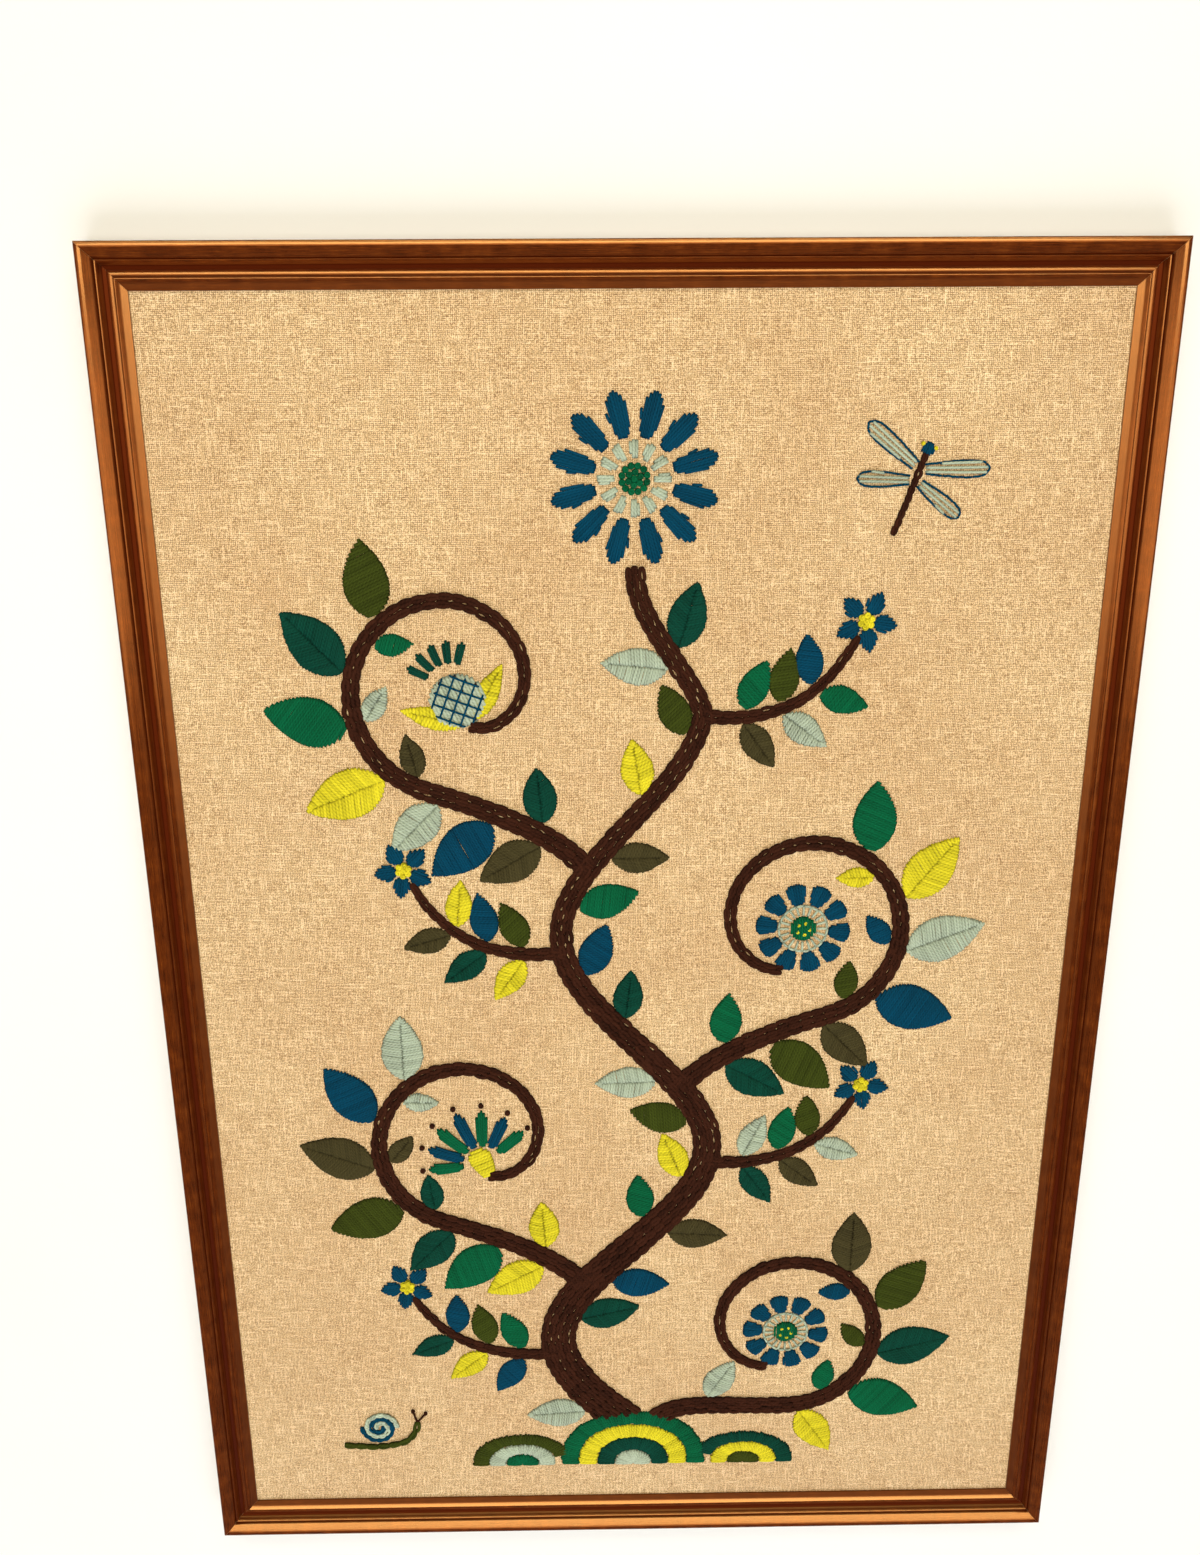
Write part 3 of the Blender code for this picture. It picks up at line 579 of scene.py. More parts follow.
def chain(yarn, path, wide, link=CHAIN_LINK, phase=0.0):
    """A row of chain stitch of any width along it: each loop rises out of the last, and a few gape."""
    run = run_of(path)
    count = max(1, int(round(run[-1] / link)))
    link = run[-1] / count
    u = np.linspace(0, 1, 8)
    points = np.array(path)
    widths = np.broadcast_to(wide, len(path))
    rise = LINEN_FACE + np.interp(u, [0, 0.12, 0.5, 0.85, 1.0], [-0.5, 0.75, 1.05, 0.95, 0.55])
    paths, thicks = [], []
    for i in np.arange(-phase, count):
        thick = np.clip(np.interp((i + 0.5) * link, run, widths) * YARN_SHARE, *CHAIN_YARN)
        where = np.clip((i + u * 1.16 - 0.08) * link, 0.0, run[-1])
        ahead, behind = np.clip(where + 1.0, 0, run[-1]), np.clip(where - 1.0, 0, run[-1])
        x, y = [np.interp(where, run, line) for line in points.T]
        dx, dy = [np.interp(ahead, run, line) - np.interp(behind, run, line) for line in points.T]
        size = np.hypot(dx, dy)
        half_gap = np.maximum(np.interp(where, run, widths) / 2 - thick, 0.3)
        half_gap += GAPE * (yarn.rng.uniform() < GAPE_SHARE)
        nudge = yarn.rng.normal(0, STRAY)
        for hand in (1, -1):
            off = hand * half_gap * np.sin(pi * u ** 0.75) ** 0.7 * yarn.rng.uniform(0.94, 1.06) + nudge
            spread = np.arange(len(u)) * 1e-3
            paths.append(np.stack([x + spread - dy / size * off, y + dx / size * off, rise], axis=1))
            thicks.append(thick)
    thicks = np.array(thicks)
    yarn.threads(paths, thicks, thicks[:, None] * 0.8, tone=0.12)


def chain_stem(yarn, row):
    """A stem filled with rows of chain stitch side by side, fewer where it is slimmer."""
    steps = 160
    shares = np.arange(steps + 1) / steps
    spots = [at(row["path"], share) for share in shares]
    widths = np.array([stem_width(row, share) for share in shares])
    rows_at = np.ceil(widths / CHAIN_WIDE).astype(int)
    for count in sorted(set(rows_at.tolist()), reverse=True):
        here = np.nonzero(rows_at == count)[0]
        span = range(max(here[0] - 1, 0), min(here[-1] + 2, steps) + 1)
        for j in range(count):
            line, wide = [], []
            for i in span:
                point, heading = spots[i]
                spot = along(point, heading + pi / 2, widths[i] * ((j + 0.5) / count - 0.5))
                if not inside_mound(spot, MOUNDS[0], FOOT_TUCK):
                    line.append(spot)
                    wide.append(widths[i] / count * (ROW_OVERLAP if count > 1 else 1.0))
            if len(line) > 2:
                chain(yarn, line, np.array(wide), phase=0.5 * (j % 2))


def inside_mound(point, row, inset=0.0):
    dx = (point[0] - row["x"]) / (row["wide"] / 2 - inset)
    dy = (point[1] - MOUND_BASE) / (row["high"] - inset)
    return abs(dx) < 1 and dy < (1 - dx * dx) ** (MOUND_SHOULDER / 2)


def mound(yarns, row, over=None):
    """Bands of long and short stitches, one inside the other."""
    def rim(share, theta):
        return np.stack([row["x"] + share * row["wide"] / 2 * np.cos(theta),
                         MOUND_BASE + share * row["high"] * np.sin(theta) ** MOUND_SHOULDER], axis=1)
    bands = len(row["bands"])
    for b, colour in enumerate(row["bands"]):
        outer, inner = 1 - b / bands, 1 - (b + 1) / bands
        turns = np.linspace(0.005, pi - 0.005, 200)
        run = run_of(rim(outer, turns))
        theta = np.interp(np.linspace(0, run[-1], int(run[-1] / BAND_PITCH)), run, turns)
        starts, ends = rim(inner, theta), rim(outer, theta)
        keep = [over is None or not inside_mound((s + e) / 2, over) for s, e in zip(starts, ends)]
        yarns[colour].straight(starts[keep], ends[keep], BAND_PITCH, jitter=0.6)


def wheel_flower(yarns, centre, turn):
    """A scalloped rim, a ring of spokes on bare linen, and an eye with a ring of knots."""
    petals(yarns, whorl(centre, **WHEEL_RIM, colour="blue", turn=turn))
    spokes(yarns["pale"], centre, WHEEL_EYE + SPOKE_GAPS[0], WHEEL_RIM["start"] - SPOKE_GAPS[1], SPOKES)
    satin_disc(yarns["emerald"], centre, WHEEL_EYE, EYE_PITCH)
    knots(yarns["lime"], [along(centre, turn + 2 * pi * i / WHEEL_KNOTS, WHEEL_KNOTS_OUT)
                          for i in range(WHEEL_KNOTS)], SMALL_KNOT)


def fan_flower(yarns, centre, angle):
    """Pointed petals spread from a cup, each with a knot over its tip."""
    for row in fan(centre, angle, FAN, ("blue", "emerald")):
        radial_blade(yarns[row["colour"]], row, PETAL_PITCH)
        knots(yarns["brown"], [along(row["base"], row["angle"], row["length"] + TIP_KNOT_PAST)], TIP_KNOT)
    satin_blade(yarns["lime"], fan_cup(centre, angle), 0.0, CUP_PITCH)


def fruit(yarns, centre, angle):
    """A round latticed fruit with a small crown, between two bracts."""
    petals(yarns, fan(centre, angle, CROWN, ("forest", "forest")))
    for row in bracts(centre, angle):
        fishbone_blade(yarns["lime"], row, BRACT_SLANT, CUP_PITCH)
    body = along(centre, angle, FRUIT_AHEAD)
    satin_disc(yarns["pale"], body, FRUIT_RADIUS, CUP_PITCH, angle)
    offsets = np.arange(-2, 3) * LATTICE
    for way in (angle + pi / 4, angle - pi / 4):
        reach = np.sqrt(FRUIT_RADIUS ** 2 - offsets ** 2) - LATTICE_INSET
        middle = np.array([along(body, way + pi / 2, offset) for offset in offsets])
        ends = np.array([cos(way), sin(way)]) * reach[:, None]
        yarns["blue"].straight(middle - ends, middle + ends, LATTICE_YARN, lift=1.9)
    knots(yarns["brown"], [along(along(body, angle + pi / 4, a), angle - pi / 4, b)
                           for a in offsets for b in offsets
                           if hypot(a, b) < FRUIT_RADIUS - LATTICE_KNOT_INSET], SMALL_KNOT)


def star_flower(yarns, path):
    rows, centre = star_petals(path)
    petals(yarns, rows)
    knot_cluster(yarns["lime"], centre, STAR_EYE, STAR_KNOTS_APART)


def top_flower(yarns, centre):
    petals(yarns, whorl(centre, **TOP_RIM, colour="blue", form="spear", turn=pi / TOP_RIM["count"]))
    petals(yarns, whorl(centre, **TOP_INNER, colour="pale"), INNER_PITCH)
    knot_cluster(yarns["emerald"], centre, TOP_EYE, TOP_KNOTS_APART)


def dragonfly(yarns, centre, angle):
    """Open wings edged in a darker yarn, a chain stitched body and a satin head."""
    for wing in wings(centre, angle):
        radial_blade(yarns["pale"], wing, WING_PITCH, fill=0.3)
        rim = np.linspace(0.0, 1.0, 16)
        half = half_share("lobe", rim) * wing["width"] / 2
        edge = np.concatenate([blade_points(wing, rim * wing["length"], half),
                               blade_points(wing, rim[-2::-1] * wing["length"], -half[-2::-1])])
        yarns["blue"].straight(edge[:-1], edge[1:], RIM_YARN, jitter=0.3, lift=0.8)
    body = [along(centre, angle, mix(BODY_FROM, BODY_TO, i / 10)) for i in range(11)]
    chain(yarns["brown"], body, wide=4.0, link=4.4)
    satin_disc(yarns["blue"], along(centre, angle, HEAD_AHEAD), HEAD_RADIUS, HEAD_PITCH, angle)
    eyes = [along(centre, angle + hand * EYE_LEAN, HEAD_AHEAD + EYE_AHEAD) for hand in (1, -1)]
    knots(yarns["lime"], eyes, EYE_KNOT)


def snail(yarns):
    """A shell wound in chain stitch, on a foot whose head bends up."""
    foot = snail_foot(24)
    chain(yarns["moss"], foot, wide=4.6)
    for start, colour in ((0.0, "pale"), (pi, "blue")):
        turns = [along(SNAIL_AT, start + SHELL_STEP * i, SHELL_RADIUS - SHELL_EDGE - SHELL_STEP * i)
                 for i in range(SHELL_STEPS)]
        chain(yarns[colour], turns, wide=3.6, link=4.6)
    for lean in HORN_LEANS:
        tip = along(foot[-1], radians(lean), HORN_LENGTH)
        yarns["brown"].straight([foot[-1]], [tip], HORN_YARN)
        knots(yarns["brown"], [tip], SMALL_KNOT)


SCROLL_ENDS = {"wheel": wheel_flower, "fan": fan_flower, "fruit": fruit}


def make_stitching():
    """Every stitch on the panel, one mesh for each colour of yarn."""
    yarns = {name: Yarn(np.random.default_rng(SEED + i)) for i, name in enumerate(YARN_COLOURS)}
    main, scrolls, sprays = vines()
    for row in leaves():
        stitch, slant, pitch, fill = LEAF_STITCH[row["colour"]]
        worked = satin_blade if stitch == "satin" else fishbone_blade
        worked(yarns[row["colour"]], row, slant, pitch, fill)
    for row in sprays + scrolls + [main]:
        chain_stem(yarns["brown"], row)
    for k, row in enumerate(SCROLLS):
        side, cx, cy = scroll_centre(k)
        facing = pi / 2 - side * (pi / 2 - (SCROLL_ENTRY + SCROLL_TURN - pi))
        SCROLL_ENDS[row["flower"]](yarns, (cx, cy), facing)
        star_flower(yarns, spray_path(k))
    top_flower(yarns, (0.0, TOP_FLOWER_AT))
    for row in MOUNDS:
        mound(yarns, row, None if row["x"] == 0 else MOUNDS[0])
    dragonfly(yarns, DRAGONFLY_AT, DRAGONFLY_ANGLE)
    snail(yarns)
    for name, yarn in yarns.items():
        piece = yarn.build(f"stitches_{name}")
        piece.data.materials.append(yarn_material(name))
        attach(piece, "root")


def new_material(name, sockets):
    """A Principled material, with the given constants set on the shader's own sockets."""
    found = bpy.data.materials.new(name)
    found.use_nodes = True
    shader = found.node_tree.nodes["Principled BSDF"]
    for socket, value in sockets.items():
        shader.inputs[socket].default_value = value
    return found, found.node_tree, shader


def add(tree, kind, links=None, **settings):
    """A node with its settings, input values and links: a link is (node, output) for an input's name."""
    node = tree.nodes.new(f"ShaderNode{kind}")
    for key, value in settings.items():
        setattr(node, key, value)
    for name, source in (links or {}).items():
        if isinstance(source, tuple) and hasattr(source[0], "outputs"):
            tree.links.new(source[0].outputs[source[1]], node.inputs[name])
        else:
            node.inputs[name].default_value = source
    return node


def maths(tree, operation, *inputs):
    """What a Math node makes of its inputs, as a link."""
    return add(tree, "Math", dict(enumerate(inputs)), operation=operation), 0


def add_up(tree, start, terms):
    """A link to start plus each term, where a term is a share and the link that it weighs."""
    total = start
    for share, source in terms:
        total = maths(tree, "MULTIPLY_ADD", source, share, total)
    return total


def vector(tree, operation, source, other):
    """What a Vector Math node makes of a vector and another one, or a number when it scales, as a link."""
    second = "Scale" if operation == "SCALE" else 1
    return add(tree, "VectorMath", {0: source, second: other}, operation=operation), 0


def noise(tree, place, scale, detail, **more):
    """The level of a noise texture, as a link."""
    return add(tree, "TexNoise", {"Vector": place, "Scale": scale, "Detail": detail, **more}), "Fac"


def ramp(tree, source, stops):
    """The colour of a ramp over source, from rows of position and colour, as a link."""
    node = add(tree, "ValToRGB", {"Fac": source})
    elements = node.color_ramp.elements
    while len(elements) < len(stops):
        elements.new(0.5)
    for element, (position, colour) in zip(elements, stops):
        element.position = position
        element.color = (*colour, 1.0)
    return node, "Color"


def blend(tree, factor, a, b, kind="MIX"):
    """The mix of two colours, as a link."""
    return add(tree, "Mix", {"Factor": factor, "A": a, "B": b}, data_type="RGBA", blend_type=kind), "Result"


def surface(tree, shader, colour, height, strength, distance):
    """Gives a shader its colour, and a bump made from a height."""
    tree.links.new(colour[0].outputs[colour[1]], shader.inputs["Base Color"])
    bump = add(tree, "Bump", {"Height": height, "Strength": strength, "Distance": distance})
    tree.links.new(bump.outputs["Normal"], shader.inputs["Normal"])


def tint(colour, k):
    return tuple(min(1.0, c * k) for c in colour)


# Wool: its plies and their turns to the millimetre, and how far each thing shades it around its own colour
PLIES, TWIST = 2.0, 0.42
# Of these, the twist term and the last term are painted shade: darker between the two plies and under each
# thread
YARN_SHADES = {"twist": 0.09, "fibre": 0.45, "patch": 0.30, "painted_underside_shade": -0.30}
YARN_MIDDLE, YARN_DARK, YARN_PALE, FIBRE_RELIEF = 0.58, 0.30, 1.45, 0.6
YARN_SOCKETS = {"Roughness": 0.8, "Sheen Weight": 0.04, "Sheen Roughness": 0.5, "Specular IOR Level": 0.05}


def yarn_material(name):
    """Two-ply wool: a twist along each thread, loose fibres, its own shade for each stitch, and painted
    shade under it.
    """
    colour = YARN_COLOURS[name]
    found, tree, shader = new_material(f"yarn_{name}", YARN_SOCKETS)
    shader.inputs["Sheen Tint"].default_value = (*tint(colour, 2.0), 1.0)
    tone = add(tree, "Attribute", attribute_name="tone"), "Fac"
    split = add(tree, "SeparateXYZ", {"Vector": (add(tree, "UVMap", uv_map="thread"), "UV")})
    lengthways, around = (split, "X"), (split, "Y")
    twist = maths(tree, "ADD", maths(tree, "MULTIPLY", lengthways, TWIST),
                  maths(tree, "MULTIPLY", around, PLIES))
    wave = maths(tree, "SINE", maths(tree, "MULTIPLY", twist, 2 * pi))
    painted_underside = maths(tree, "COSINE", maths(tree, "MULTIPLY", around, 2 * pi))
    stretched = add(tree, "CombineXYZ", {"X": twist, "Y": around, "Z": tone}), 0
    fibre = noise(tree, stretched, scale=7.0, detail=3.0)
    patch = noise(tree, (add(tree, "TexCoord"), "Object"), scale=60.0, detail=2.0)
    # Painted shade: darker between the plies and round the lower side of each thread
    shaded = add_up(tree, tone, ((YARN_SHADES["twist"], wave), (YARN_SHADES["fibre"], fibre),
                                 (YARN_SHADES["patch"], patch), (YARN_SHADES["painted_underside_shade"], painted_underside)))
    stops = ((0.05, tint(colour, YARN_DARK)), (0.5, colour), (0.92, tint(colour, YARN_PALE)))
    colours = ramp(tree, maths(tree, "SUBTRACT", shaded, YARN_MIDDLE), stops)
    height = maths(tree, "MULTIPLY_ADD", fibre, FIBRE_RELIEF, wave)
    surface(tree, shader, colours, height, strength=0.55, distance=0.00022)
    return found


# Linen: metres between its threads, how far they wander, and how far each thing shades it
THREAD_PITCH, THREAD_WANDER = 0.00098, 0.0012
SLUB_STRETCHES = ((1000.0, 70.0, 1.0), (70.0, 1000.0, 1.0))
PALE_SLUB = {"From Min": 0.56, "From Max": 0.68, "To Max": 0.19}
# The crown term is painted shade: the weave is darker in the gaps between its threads and lighter on their
# crowns
LINEN_SHADES = {"slub": 0.40, "crown": 0.40, "speck": 1.40}
LINEN_MIDDLE = 0.615
LINEN_SOCKETS = {"Roughness": 0.93, "Sheen Weight": 0.12, "Sheen Roughness": 0.6, "Specular IOR Level": 0.2}
LINEN_STOPS = (
    (0.20, (0.26, 0.150, 0.065)),
    (0.42, (0.60, 0.400, 0.205)),
    (0.56, (0.78, 0.560, 0.320)),
    (0.76, (0.95, 0.790, 0.540)),
)
LINEN_WASH = ((0.3, (0.90, 0.84, 0.78)), (0.7, (1.0, 1.0, 0.98)))


def linen_material():
    """Plain weave at about one thread a millimetre, with a few pale slubs along both ways and painted shade
    between the threads.
    """
    found, tree, shader = new_material("linen_weave", LINEN_SOCKETS)
    place = add(tree, "TexCoord"), "Object"
    wander = noise(tree, place, scale=90.0, detail=2.0)[0], "Color"
    centred = vector(tree, "SUBTRACT", wander, (0.5, 0.5, 0.5))
    bent = vector(tree, "ADD", place, vector(tree, "SCALE", centred, THREAD_WANDER))
    axes = add(tree, "SeparateXYZ", {"Vector": vector(tree, "SCALE", bent, 1 / THREAD_PITCH)})
    waves = [maths(tree, "SINE", maths(tree, "MULTIPLY", (axes, axis), pi)) for axis in ("X", "Y")]
    over = maths(tree, "MULTIPLY", *waves)
    # Painted shade: the weave is darker in the gaps between threads and lighter on their crowns
    crown = maths(tree, "MULTIPLY", *[maths(tree, "ABSOLUTE", wave) for wave in waves])
    streaks = [noise(tree, vector(tree, "MULTIPLY", bent, stretch), scale=1.0, detail=2.5, Roughness=0.6)
               for stretch in SLUB_STRETCHES]
    upper = maths(tree, "GREATER_THAN", over, 0.0)
    slub = add(tree, "Mix", {"Factor": upper, "A": streaks[0], "B": streaks[1]}), "Result"
    thickest = maths(tree, "MAXIMUM", *streaks)
    pale_slubs = add(tree, "MapRange", {"Value": thickest, **PALE_SLUB}), "Result"
    speck = noise(tree, bent, scale=1550.0, detail=2.0)
    height = add_up(tree, pale_slubs, ((LINEN_SHADES["slub"], slub), (LINEN_SHADES["crown"], crown),
                                       (LINEN_SHADES["speck"], speck)))
    weave = ramp(tree, maths(tree, "SUBTRACT", height, LINEN_MIDDLE), LINEN_STOPS)
    wash = ramp(tree, noise(tree, place, scale=9.0, detail=4.0), LINEN_WASH)
    colour = blend(tree, 1.0, weave, wash, "MULTIPLY")
    surface(tree, shader, colour, height, strength=0.6, distance=0.00035)
    return found


# Wood: how its grain and pores are drawn out along a rail, how far each thing shades it, and its finishes
GRAIN_STRETCH, PORE_STRETCH = (0.035, 0.9, 1.0), (0.35, 3.4, 1.0)
PORE_SHADE, MOTTLE_SHADE, WOOD_MIDDLE = 0.35, 0.5, 0.42
WOOD_FINISH = {
    "polished_wood": {"IOR": 1.8, "Specular IOR Level": 0.65, "Specular Tint": (1.0, 0.50, 0.16, 1.0)},
    "raw_wood": {"Roughness": 0.6, "Specular IOR Level": 0.3},
    "glazed_and_shaded_wood": {"Specular IOR Level": 0.3, "Specular Tint": (1.0, 0.24, 0.05, 1.0)},
}
STAIN_STOPS = (
    (0.18, (0.030, 0.003, 0.0004)),
    (0.42, (0.072, 0.010, 0.0010)),
    (0.60, (0.125, 0.022, 0.0022)),
    (0.85, (0.260, 0.065, 0.0080)),
)
RAW_STOPS = ((0.2, (0.42, 0.27, 0.14)), (0.8, (0.66, 0.48, 0.29)))
# Mixed in by groove depth: partly a real glaze in the hollows and partly painted shade there
GLAZE_AND_SHADE_COLOUR = (0.045, 0.005, 0.001, 1.0)
RIDGE_ROUGHNESS, GROOVE_ROUGHNESS = 0.16, 0.50


def wood_material(name):
    """Moulding, its grain along the rail: bare behind, stained in front, with glaze and painted shade in the
    grooves.
    """
    found, tree, shader = new_material(name, WOOD_FINISH[name])
    rail = add(tree, "UVMap", uv_map="rail"), "UV"
    grain = noise(tree, vector(tree, "MULTIPLY", rail, GRAIN_STRETCH), scale=2.2, detail=6.0,
                  Roughness=0.62, Distortion=0.4)
    pores = noise(tree, vector(tree, "MULTIPLY", rail, PORE_STRETCH), scale=1.6, detail=3.0)
    mottle = noise(tree, rail, scale=0.11, detail=4.0)
    height = add_up(tree, grain, [(PORE_SHADE, pores)])
    level = maths(tree, "SUBTRACT", add_up(tree, height, [(MOTTLE_SHADE, mottle)]), WOOD_MIDDLE)
    if name == "raw_wood":
        colour = ramp(tree, level, RAW_STOPS)
    else:
        # Painted shade with the glaze: the deeper in a groove, the more of the dark colour
        depth = add(tree, "Attribute", attribute_name="groove"), "Fac"
        colour = blend(tree, depth, ramp(tree, level, STAIN_STOPS), GLAZE_AND_SHADE_COLOUR)
        dull = add(tree, "MapRange", {"Value": depth, "To Min": RIDGE_ROUGHNESS, "To Max": GROOVE_ROUGHNESS})
        tree.links.new(dull.outputs["Result"], shader.inputs["Roughness"])
    surface(tree, shader, colour, height, strength=0.10, distance=0.0002)
    return found


CLOUD_SHADE = 0.4
BOARD_STOPS = ((0.45, (0.20, 0.125, 0.065)), (0.95, (0.42, 0.29, 0.17)))


def board_material():
    """Hardboard: a fine pressed-fibre mottle."""
    found, tree, shader = new_material("hardboard", {"Roughness": 0.85, "Specular IOR Level": 0.3})
    place = add(tree, "TexCoord"), "Object"
    fibre = noise(tree, place, scale=420.0, detail=5.0)
    level = add_up(tree, fibre, [(CLOUD_SHADE, noise(tree, place, scale=14.0, detail=3.0))])
    surface(tree, shader, ramp(tree, level, BOARD_STOPS), fibre, strength=0.3, distance=0.0003)
    return found


# Moulding from the sight edge outwards: (how far out, how far up, how far the arc that reaches it bulges,
# how deep in a groove it lies, from 0 on a ridge to 1)
MOULDING_START = (0.0, 1.2)
# Groove depth at the start, the ledge, the outer side and the foot: glaze and painted shade, and a duller
# finish
START_GROOVE, LEDGE_GROOVE, SIDE_GROOVE, FOOT_GROOVE = 0.4, 0.9, 0.25, 0.3
MOULDING = (
    (3.5, 2.2, 0.00, 0.5),
    (5.0, 3.3, 0.00, 0.0),
    (5.6, 3.4, 0.10, 0.0),
    (6.5, 1.9, 0.15, 1.0),
    (7.6, 2.2, 0.08, 0.1),
    (9.0, 1.7, 0.16, 0.2),
    (9.8, 0.9, 0.00, 1.0),
    (11.6, 1.4, 0.00, 1.0),
    (12.5, 2.8, 0.00, 0.5),
    (13.2, 4.1, 0.05, 0.25),
    (14.0, 4.6, 0.12, 0.2),
    (14.3, 4.1, 0.00, 1.0),
    (14.6, 4.5, 0.00, 0.9),
    (14.9, 5.3, 0.00, 0.3),
    (19.3, 8.0, 0.02, 0.0),
    (21.6, 7.9, 0.18, 0.0),
    (RAIL_WIDE, 6.9, 0.25, 0.1),
)
ARC_STEPS, RAIL_STEPS = 6, 60
# Faces deeper in a groove than this take the third finish, whose dimmer, redder reflections are painted
# shade with the glaze
GLAZE_AND_SHADE_FROM = 0.7
MITRE_CLEAR = 0.4 * FIT_GAP / 2 ** 0.5
BACK_ROUND, REBATE_ROUND = 0.5, 0.3
RAIL_WAVES, RAIL_WAVE, WAVE_ABOVE, RAIL_SHIFT = 13, 0.03, 1.0, 500
SMOOTH_BELOW = radians(50)


def rail_section():
    """Points of a rail's section as (out, height, groove), and how many of them are stained.

    They run from the ledge over the face, then down the side and under the back to the rebate.
    """
    ledge = LINEN_FACE + FIT_GAP
    x0, y0 = MOULDING_START
    deep = START_GROOVE
    points = [(x0, ledge, LEDGE_GROOVE), (x0, LINEN_FACE + y0, deep)]
    for x1, y1, bulge, deeper in MOULDING:
        span = hypot(x1 - x0, y1 - y0)
        for i in range(1, ARC_STEPS + 1):
            u = i / ARC_STEPS
            lift = 4 * bulge * u * (1 - u) / span
            sharp = u ** 1.5 if deeper > deep else 1 - (1 - u) ** 1.5
            points.append((mix(x0, x1, u) - (y1 - y0) * lift,
                           LINEN_FACE + mix(y0, y1, u) + (x1 - x0) * lift, mix(deep, deeper, sharp)))
        x0, y0, deep = x1, y1, deeper
    points += [(RAIL_WIDE, LINEN_FACE * u, SIDE_GROOVE) for u in (0.66, 0.33)]
    points += [(RAIL_WIDE, BACK_ROUND, FOOT_GROOVE), (RAIL_WIDE - BACK_ROUND, 0.0, FOOT_GROOVE)]
    stained = len(points)
    points += [(REBATE + REBATE_ROUND, 0.0, 0.0), (REBATE, REBATE_ROUND, 0.0), (REBATE, ledge, 0.0)]
    return points, stained


def make_rail(name, angle, half_length, half_across, materials, rng):
    """A rail along +X on the +Y side, mitred at both ends, then turned to its own side.

    Its materials are the polished face, the raw back and the dull glaze with painted shade in the grooves.
    """
    section, stained = rail_section()
    outs, heights, grooves = np.array(section).T
    rim = running(np.hypot(np.diff(outs), np.diff(heights)))
    t = np.linspace(-1, 1, RAIL_STEPS + 1)
    x = t[:, None] * (half_length + outs - MITRE_CLEAR)[None, :]
    wave = np.interp(t, np.linspace(-1, 1, RAIL_WAVES), rng.normal(0, RAIL_WAVE, RAIL_WAVES))
    y = half_across + outs[None, :] + 0 * x
    z = heights[None, :] + (heights > WAVE_ABOVE)[None, :] * wave[:, None]
    turn = np.array([[cos(angle), -sin(angle)], [sin(angle), cos(angle)]])
    flat = np.stack([x, y], axis=-1) @ turn.T
    points = np.concatenate([flat, z[..., None]], axis=-1).reshape(-1, 3) * MM
    rows, cols = x.shape
    index = np.arange(rows * cols).reshape(rows, cols)
    after = np.roll(index, -1, axis=1)
    quads = quads_of(index[:-1], index[1:], after[1:], after[:-1])
    mesh = bpy.data.meshes.new(name)
    mesh.from_pydata(points, [], quads.tolist() + [index[0].tolist(), index[-1, ::-1].tolist()])
    layer = mesh.uv_layers.new(name="rail")
    uv = np.stack([x + rng.uniform(0, RAIL_SHIFT), np.broadcast_to(rim, x.shape)], axis=-1).reshape(-1, 2)
    corners = np.zeros(len(mesh.loops), dtype=np.int32)
    mesh.loops.foreach_get("vertex_index", corners)
    layer.data.foreach_set("uv", uv[corners].ravel())
    groove = mesh.attributes.new("groove", "FLOAT", "POINT")
    groove.data.foreach_set("value", np.broadcast_to(grooves, x.shape).ravel().copy())
    for item in materials:
        mesh.materials.append(item)
    column = np.tile(np.arange(cols), rows - 1)
    # The deepest grooves take the third finish: dull glaze with painted shade
    glazed_and_shaded = np.minimum(grooves, np.roll(grooves, -1)) > GLAZE_AND_SHADE_FROM
    slots = np.concatenate([np.where(glazed_and_shaded, 2, np.arange(cols) >= stained)[column], [1, 1]])
    mesh.polygons.foreach_set("material_index", slots.astype(np.int32))
    mesh.shade_smooth()
    mesh.set_sharp_from_angle(angle=SMOOTH_BELOW)
    return put(name, mesh)


def make_rails():
    materials = [wood_material(name) for name in WOOD_FINISH]
    rng = np.random.default_rng(SEED)
    half_wide, half_high = SIGHT_WIDE / 2, SIGHT_HIGH / 2
    for name, angle, half_length, half_across in (("top", 0.0, half_wide, half_high),
                                                   ("left", pi / 2, half_high, half_wide),
                                                   ("bottom", pi, half_wide, half_high),
                                                   ("right", -pi / 2, half_high, half_wide)):
        rail = make_rail(f"moulding_{name}", angle, half_length, half_across, materials, rng)
        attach(rail, "root")
        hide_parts(f"rail_{name}")


# Linen mesh: its grid, its swells and how they flatten towards the edge, and the roundness of its fold
SHEET_COLUMNS, SHEET_ROWS = 104, 156
SWELLS, SWELL, SWELL_LIMIT, FLAT_EDGE = 26, 0.03, 0.2, 8
SWELL_WAVES = ((2, 22), (2, 30))
FOLD_ROUND = 0.3


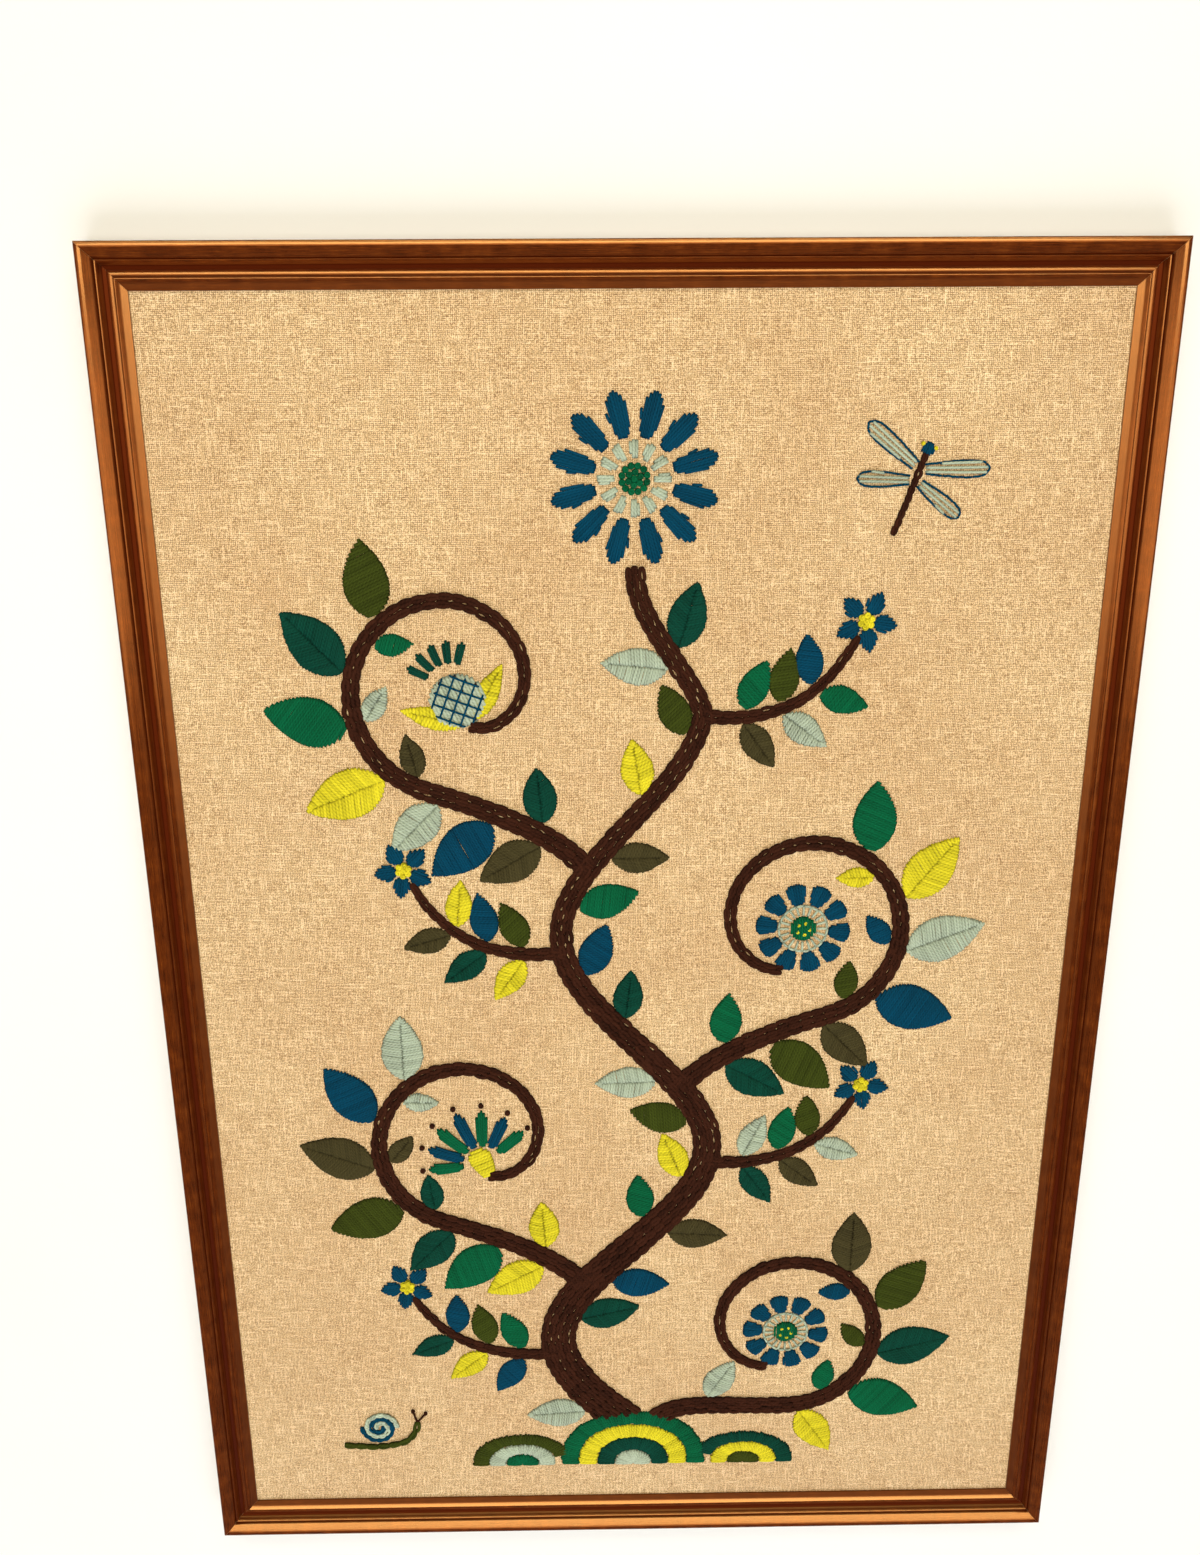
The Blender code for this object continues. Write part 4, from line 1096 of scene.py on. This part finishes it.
def make_linen():
    """The linen over its board, faintly uneven where it is stretched, with its hem turned to the back."""
    half_wide, half_high = SIGHT_WIDE / 2 + REBATE - FIT_GAP, SIGHT_HIGH / 2 + REBATE - FIT_GAP
    under = LINEN_FACE - LINEN_THICK
    hem_top = under - 2 * FIT_GAP - BOARD_THICK
    hem_foot = hem_top - LINEN_THICK
    gx, gy = np.meshgrid(np.linspace(-1, 1, SHEET_COLUMNS + 1), np.linspace(-1, 1, SHEET_ROWS + 1))
    rng = np.random.default_rng(SEED)
    swell = np.zeros_like(gx)
    for _ in range(SWELLS):
        wx, wy = [rng.uniform(*waves) for waves in SWELL_WAVES]
        shift = rng.uniform(0, 2 * pi, 2)
        swell += rng.normal(0, SWELL) * np.sin(wx * gx + shift[0]) * np.sin(wy * gy + shift[1])
    edge = np.minimum(1.0, FLAT_EDGE * np.minimum(1 - np.abs(gx), 1 - np.abs(gy)))
    top = LINEN_FACE + np.clip(swell, -SWELL_LIMIT, SWELL_LIMIT) * edge
    layers = [np.stack([gx * (half_wide - inset), gy * (half_high - inset), 0 * gx + z], axis=-1)
              for inset, z in ((0.0, top), (LINEN_THICK, under))]
    points = np.concatenate([layer.reshape(-1, 3) for layer in layers])
    index = np.arange(gx.size).reshape(gx.shape)
    quads = quads_of(index[:-1, :-1], index[:-1, 1:], index[1:, 1:], index[1:, :-1])
    faces = np.concatenate([quads, quads[:, ::-1] + gx.size]).tolist()
    border = np.concatenate([index[0, :-1], index[:-1, -1], index[-1, :0:-1], index[:0:-1, 0]])
    rings = [border]
    extra = [points]
    count = len(points)
    for inset, z in ((0.0, hem_foot + FOLD_ROUND), (FOLD_ROUND, hem_foot), (HEM, hem_foot), (HEM, hem_top),
                     (LINEN_THICK, hem_top)):
        ring = points[border].copy()
        ring[:, 0] *= (half_wide - inset) / half_wide
        ring[:, 1] *= (half_high - inset) / half_high
        ring[:, 2] = z
        extra.append(ring)
        rings.append(count + np.arange(len(border)))
        count += len(border)
    rings.append(border + gx.size)
    for ring, after in zip(rings, rings[1:]):
        faces += quads_of(ring, after, np.roll(after, -1), np.roll(ring, -1)).tolist()
    mesh = bpy.data.meshes.new("linen_sheet")
    mesh.from_pydata(np.concatenate(extra) * MM, [], faces)
    mesh.shade_smooth()
    mesh.set_sharp_from_angle(angle=SMOOTH_BELOW)
    mesh.materials.append(linen_material())
    linen = put("linen_sheet", mesh)
    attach(linen, "root")
    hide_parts("embroidered_linen")


FLOOR_REACH = 3.0
FLOOR_STOPS = ((0.3, (0.86, 0.88, 0.91)), (0.7, (0.90, 0.92, 0.95)))


def make_floor():
    """A pale, faintly mottled studio floor."""
    mesh = bpy.data.meshes.new("studio_floor")
    corners = [(x * FLOOR_REACH, y * FLOOR_REACH, 0.0) for x, y in ((-1, -1), (1, -1), (1, 1), (-1, 1))]
    mesh.from_pydata(corners, [], [(0, 1, 2, 3)])
    floor = put("studio_floor", mesh)
    found, tree, shader = new_material("pale_floor", {"Roughness": 0.9, "Specular IOR Level": 0.1})
    mottle = noise(tree, (add(tree, "TexCoord"), "Object"), scale=3.0, detail=3.0)
    shade = ramp(tree, mottle, FLOOR_STOPS)
    tree.links.new(shade[0].outputs[shade[1]], shader.inputs["Base Color"])
    mesh.materials.append(found)


# Lights over and before the panel: glints says whether one is seen reflected, and glow whether it lights
# what it shines on, both true unless a row says otherwise
LIGHTS = (
    {"name": "window", "at": (0.0, 1.75, 1.35), "to": (0.0, 0.2, 0.0), "size": (2.2, 0.35), "power": 17.0,
     "colour": (1.0, 0.88, 0.66)},
    {"name": "ceiling", "at": (0.0, 0.32, 2.30), "to": (0.0, 0.0, 0.0), "size": (0.9, 1.40), "power": 36.0,
     "colour": (1.0, 0.93, 0.73), "glints": False},
    {"name": "sheen", "at": (0.0, 0.05, 6.0), "to": (0.0, 0.05, 0.0), "size": (16.0, 2.1), "power": 330.0,
     "colour": (1.0, 0.62, 0.42), "glow": False},
    {"name": "gleam", "at": (0.0, 2.65, 6.0), "to": (0.0, 2.65, 0.0), "size": (6.0, 3.1), "power": 600.0,
     "colour": (1.0, 0.93, 0.80), "glow": False},
    {"name": "fill", "at": (0.0, -3.0, 2.2), "to": (0.0, -0.1, 0.0), "size": (5.0, 3.0), "power": 118.0,
     "colour": (1.0, 0.98, 1.0), "glints": False},
)
BACKDROP_COLOUR = (1.0, 0.98, 0.95, 1.0)
BACKDROP_LIGHT, BACKDROP_SEEN = 0.12, 0.90


def make_lights():
    """Area lights, and a backdrop that looks paler than the light it gives."""
    for row in LIGHTS:
        lamp = bpy.data.lights.new(row["name"], "AREA")
        lamp.shape = "RECTANGLE"
        lamp.size, lamp.size_y = row["size"]
        lamp.energy = row["power"]
        lamp.color = row["colour"]
        obj = put(row["name"], lamp)
        obj.location = row["at"]
        obj.rotation_euler = (Vector(row["to"]) - Vector(row["at"])).to_track_quat("-Z", "Y").to_euler()
        obj.visible_glossy = row.get("glints", True)
        obj.visible_diffuse = row.get("glow", True)
    world = bpy.data.worlds.new("studio")
    world.use_nodes = True
    tree = world.node_tree
    backdrop = tree.nodes["Background"]
    backdrop.inputs["Color"].default_value = BACKDROP_COLOUR
    level = add(tree, "MapRange", {"Value": (add(tree, "LightPath"), "Is Camera Ray"),
                                   "To Min": BACKDROP_LIGHT, "To Max": BACKDROP_SEEN})
    tree.links.new(level.outputs["Result"], backdrop.inputs["Strength"])
    bpy.context.scene.world = world


# The camera, from the frame's corners in the photo: image height and focal length in pixels, and its place
IMAGE_HIGH, FOCAL_PIXELS, SENSOR = 1555, 1190, 36.0
EYE = Vector((-26.0, 308.85, 643.62 + LINEN_FACE)) * MM
AHEAD = Vector((0.01031, -0.27454, -0.96152))
UPWARD = Vector((0.00938, 0.96156, -0.27445))


def make_camera():
    lens = bpy.data.cameras.new("camera")
    lens.sensor_width = SENSOR
    lens.lens = SENSOR * FOCAL_PIXELS / IMAGE_HIGH
    lens.clip_start = 0.01
    camera = put("camera", lens)
    right = AHEAD.cross(UPWARD).normalized()
    up = right.cross(AHEAD).normalized()
    turned = Matrix((right, up, -AHEAD.normalized())).transposed().to_4x4()
    camera.matrix_world = Matrix.Translation(EYE) @ turned
    bpy.context.scene.camera = camera


make_camera()
make_floor()
make_lights()
make_rails()
make_linen()
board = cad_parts["backing_board"].data
board.materials.clear()
board.materials.append(board_material())
make_stitching()
bpy.context.scene.view_settings.view_transform = "Standard"
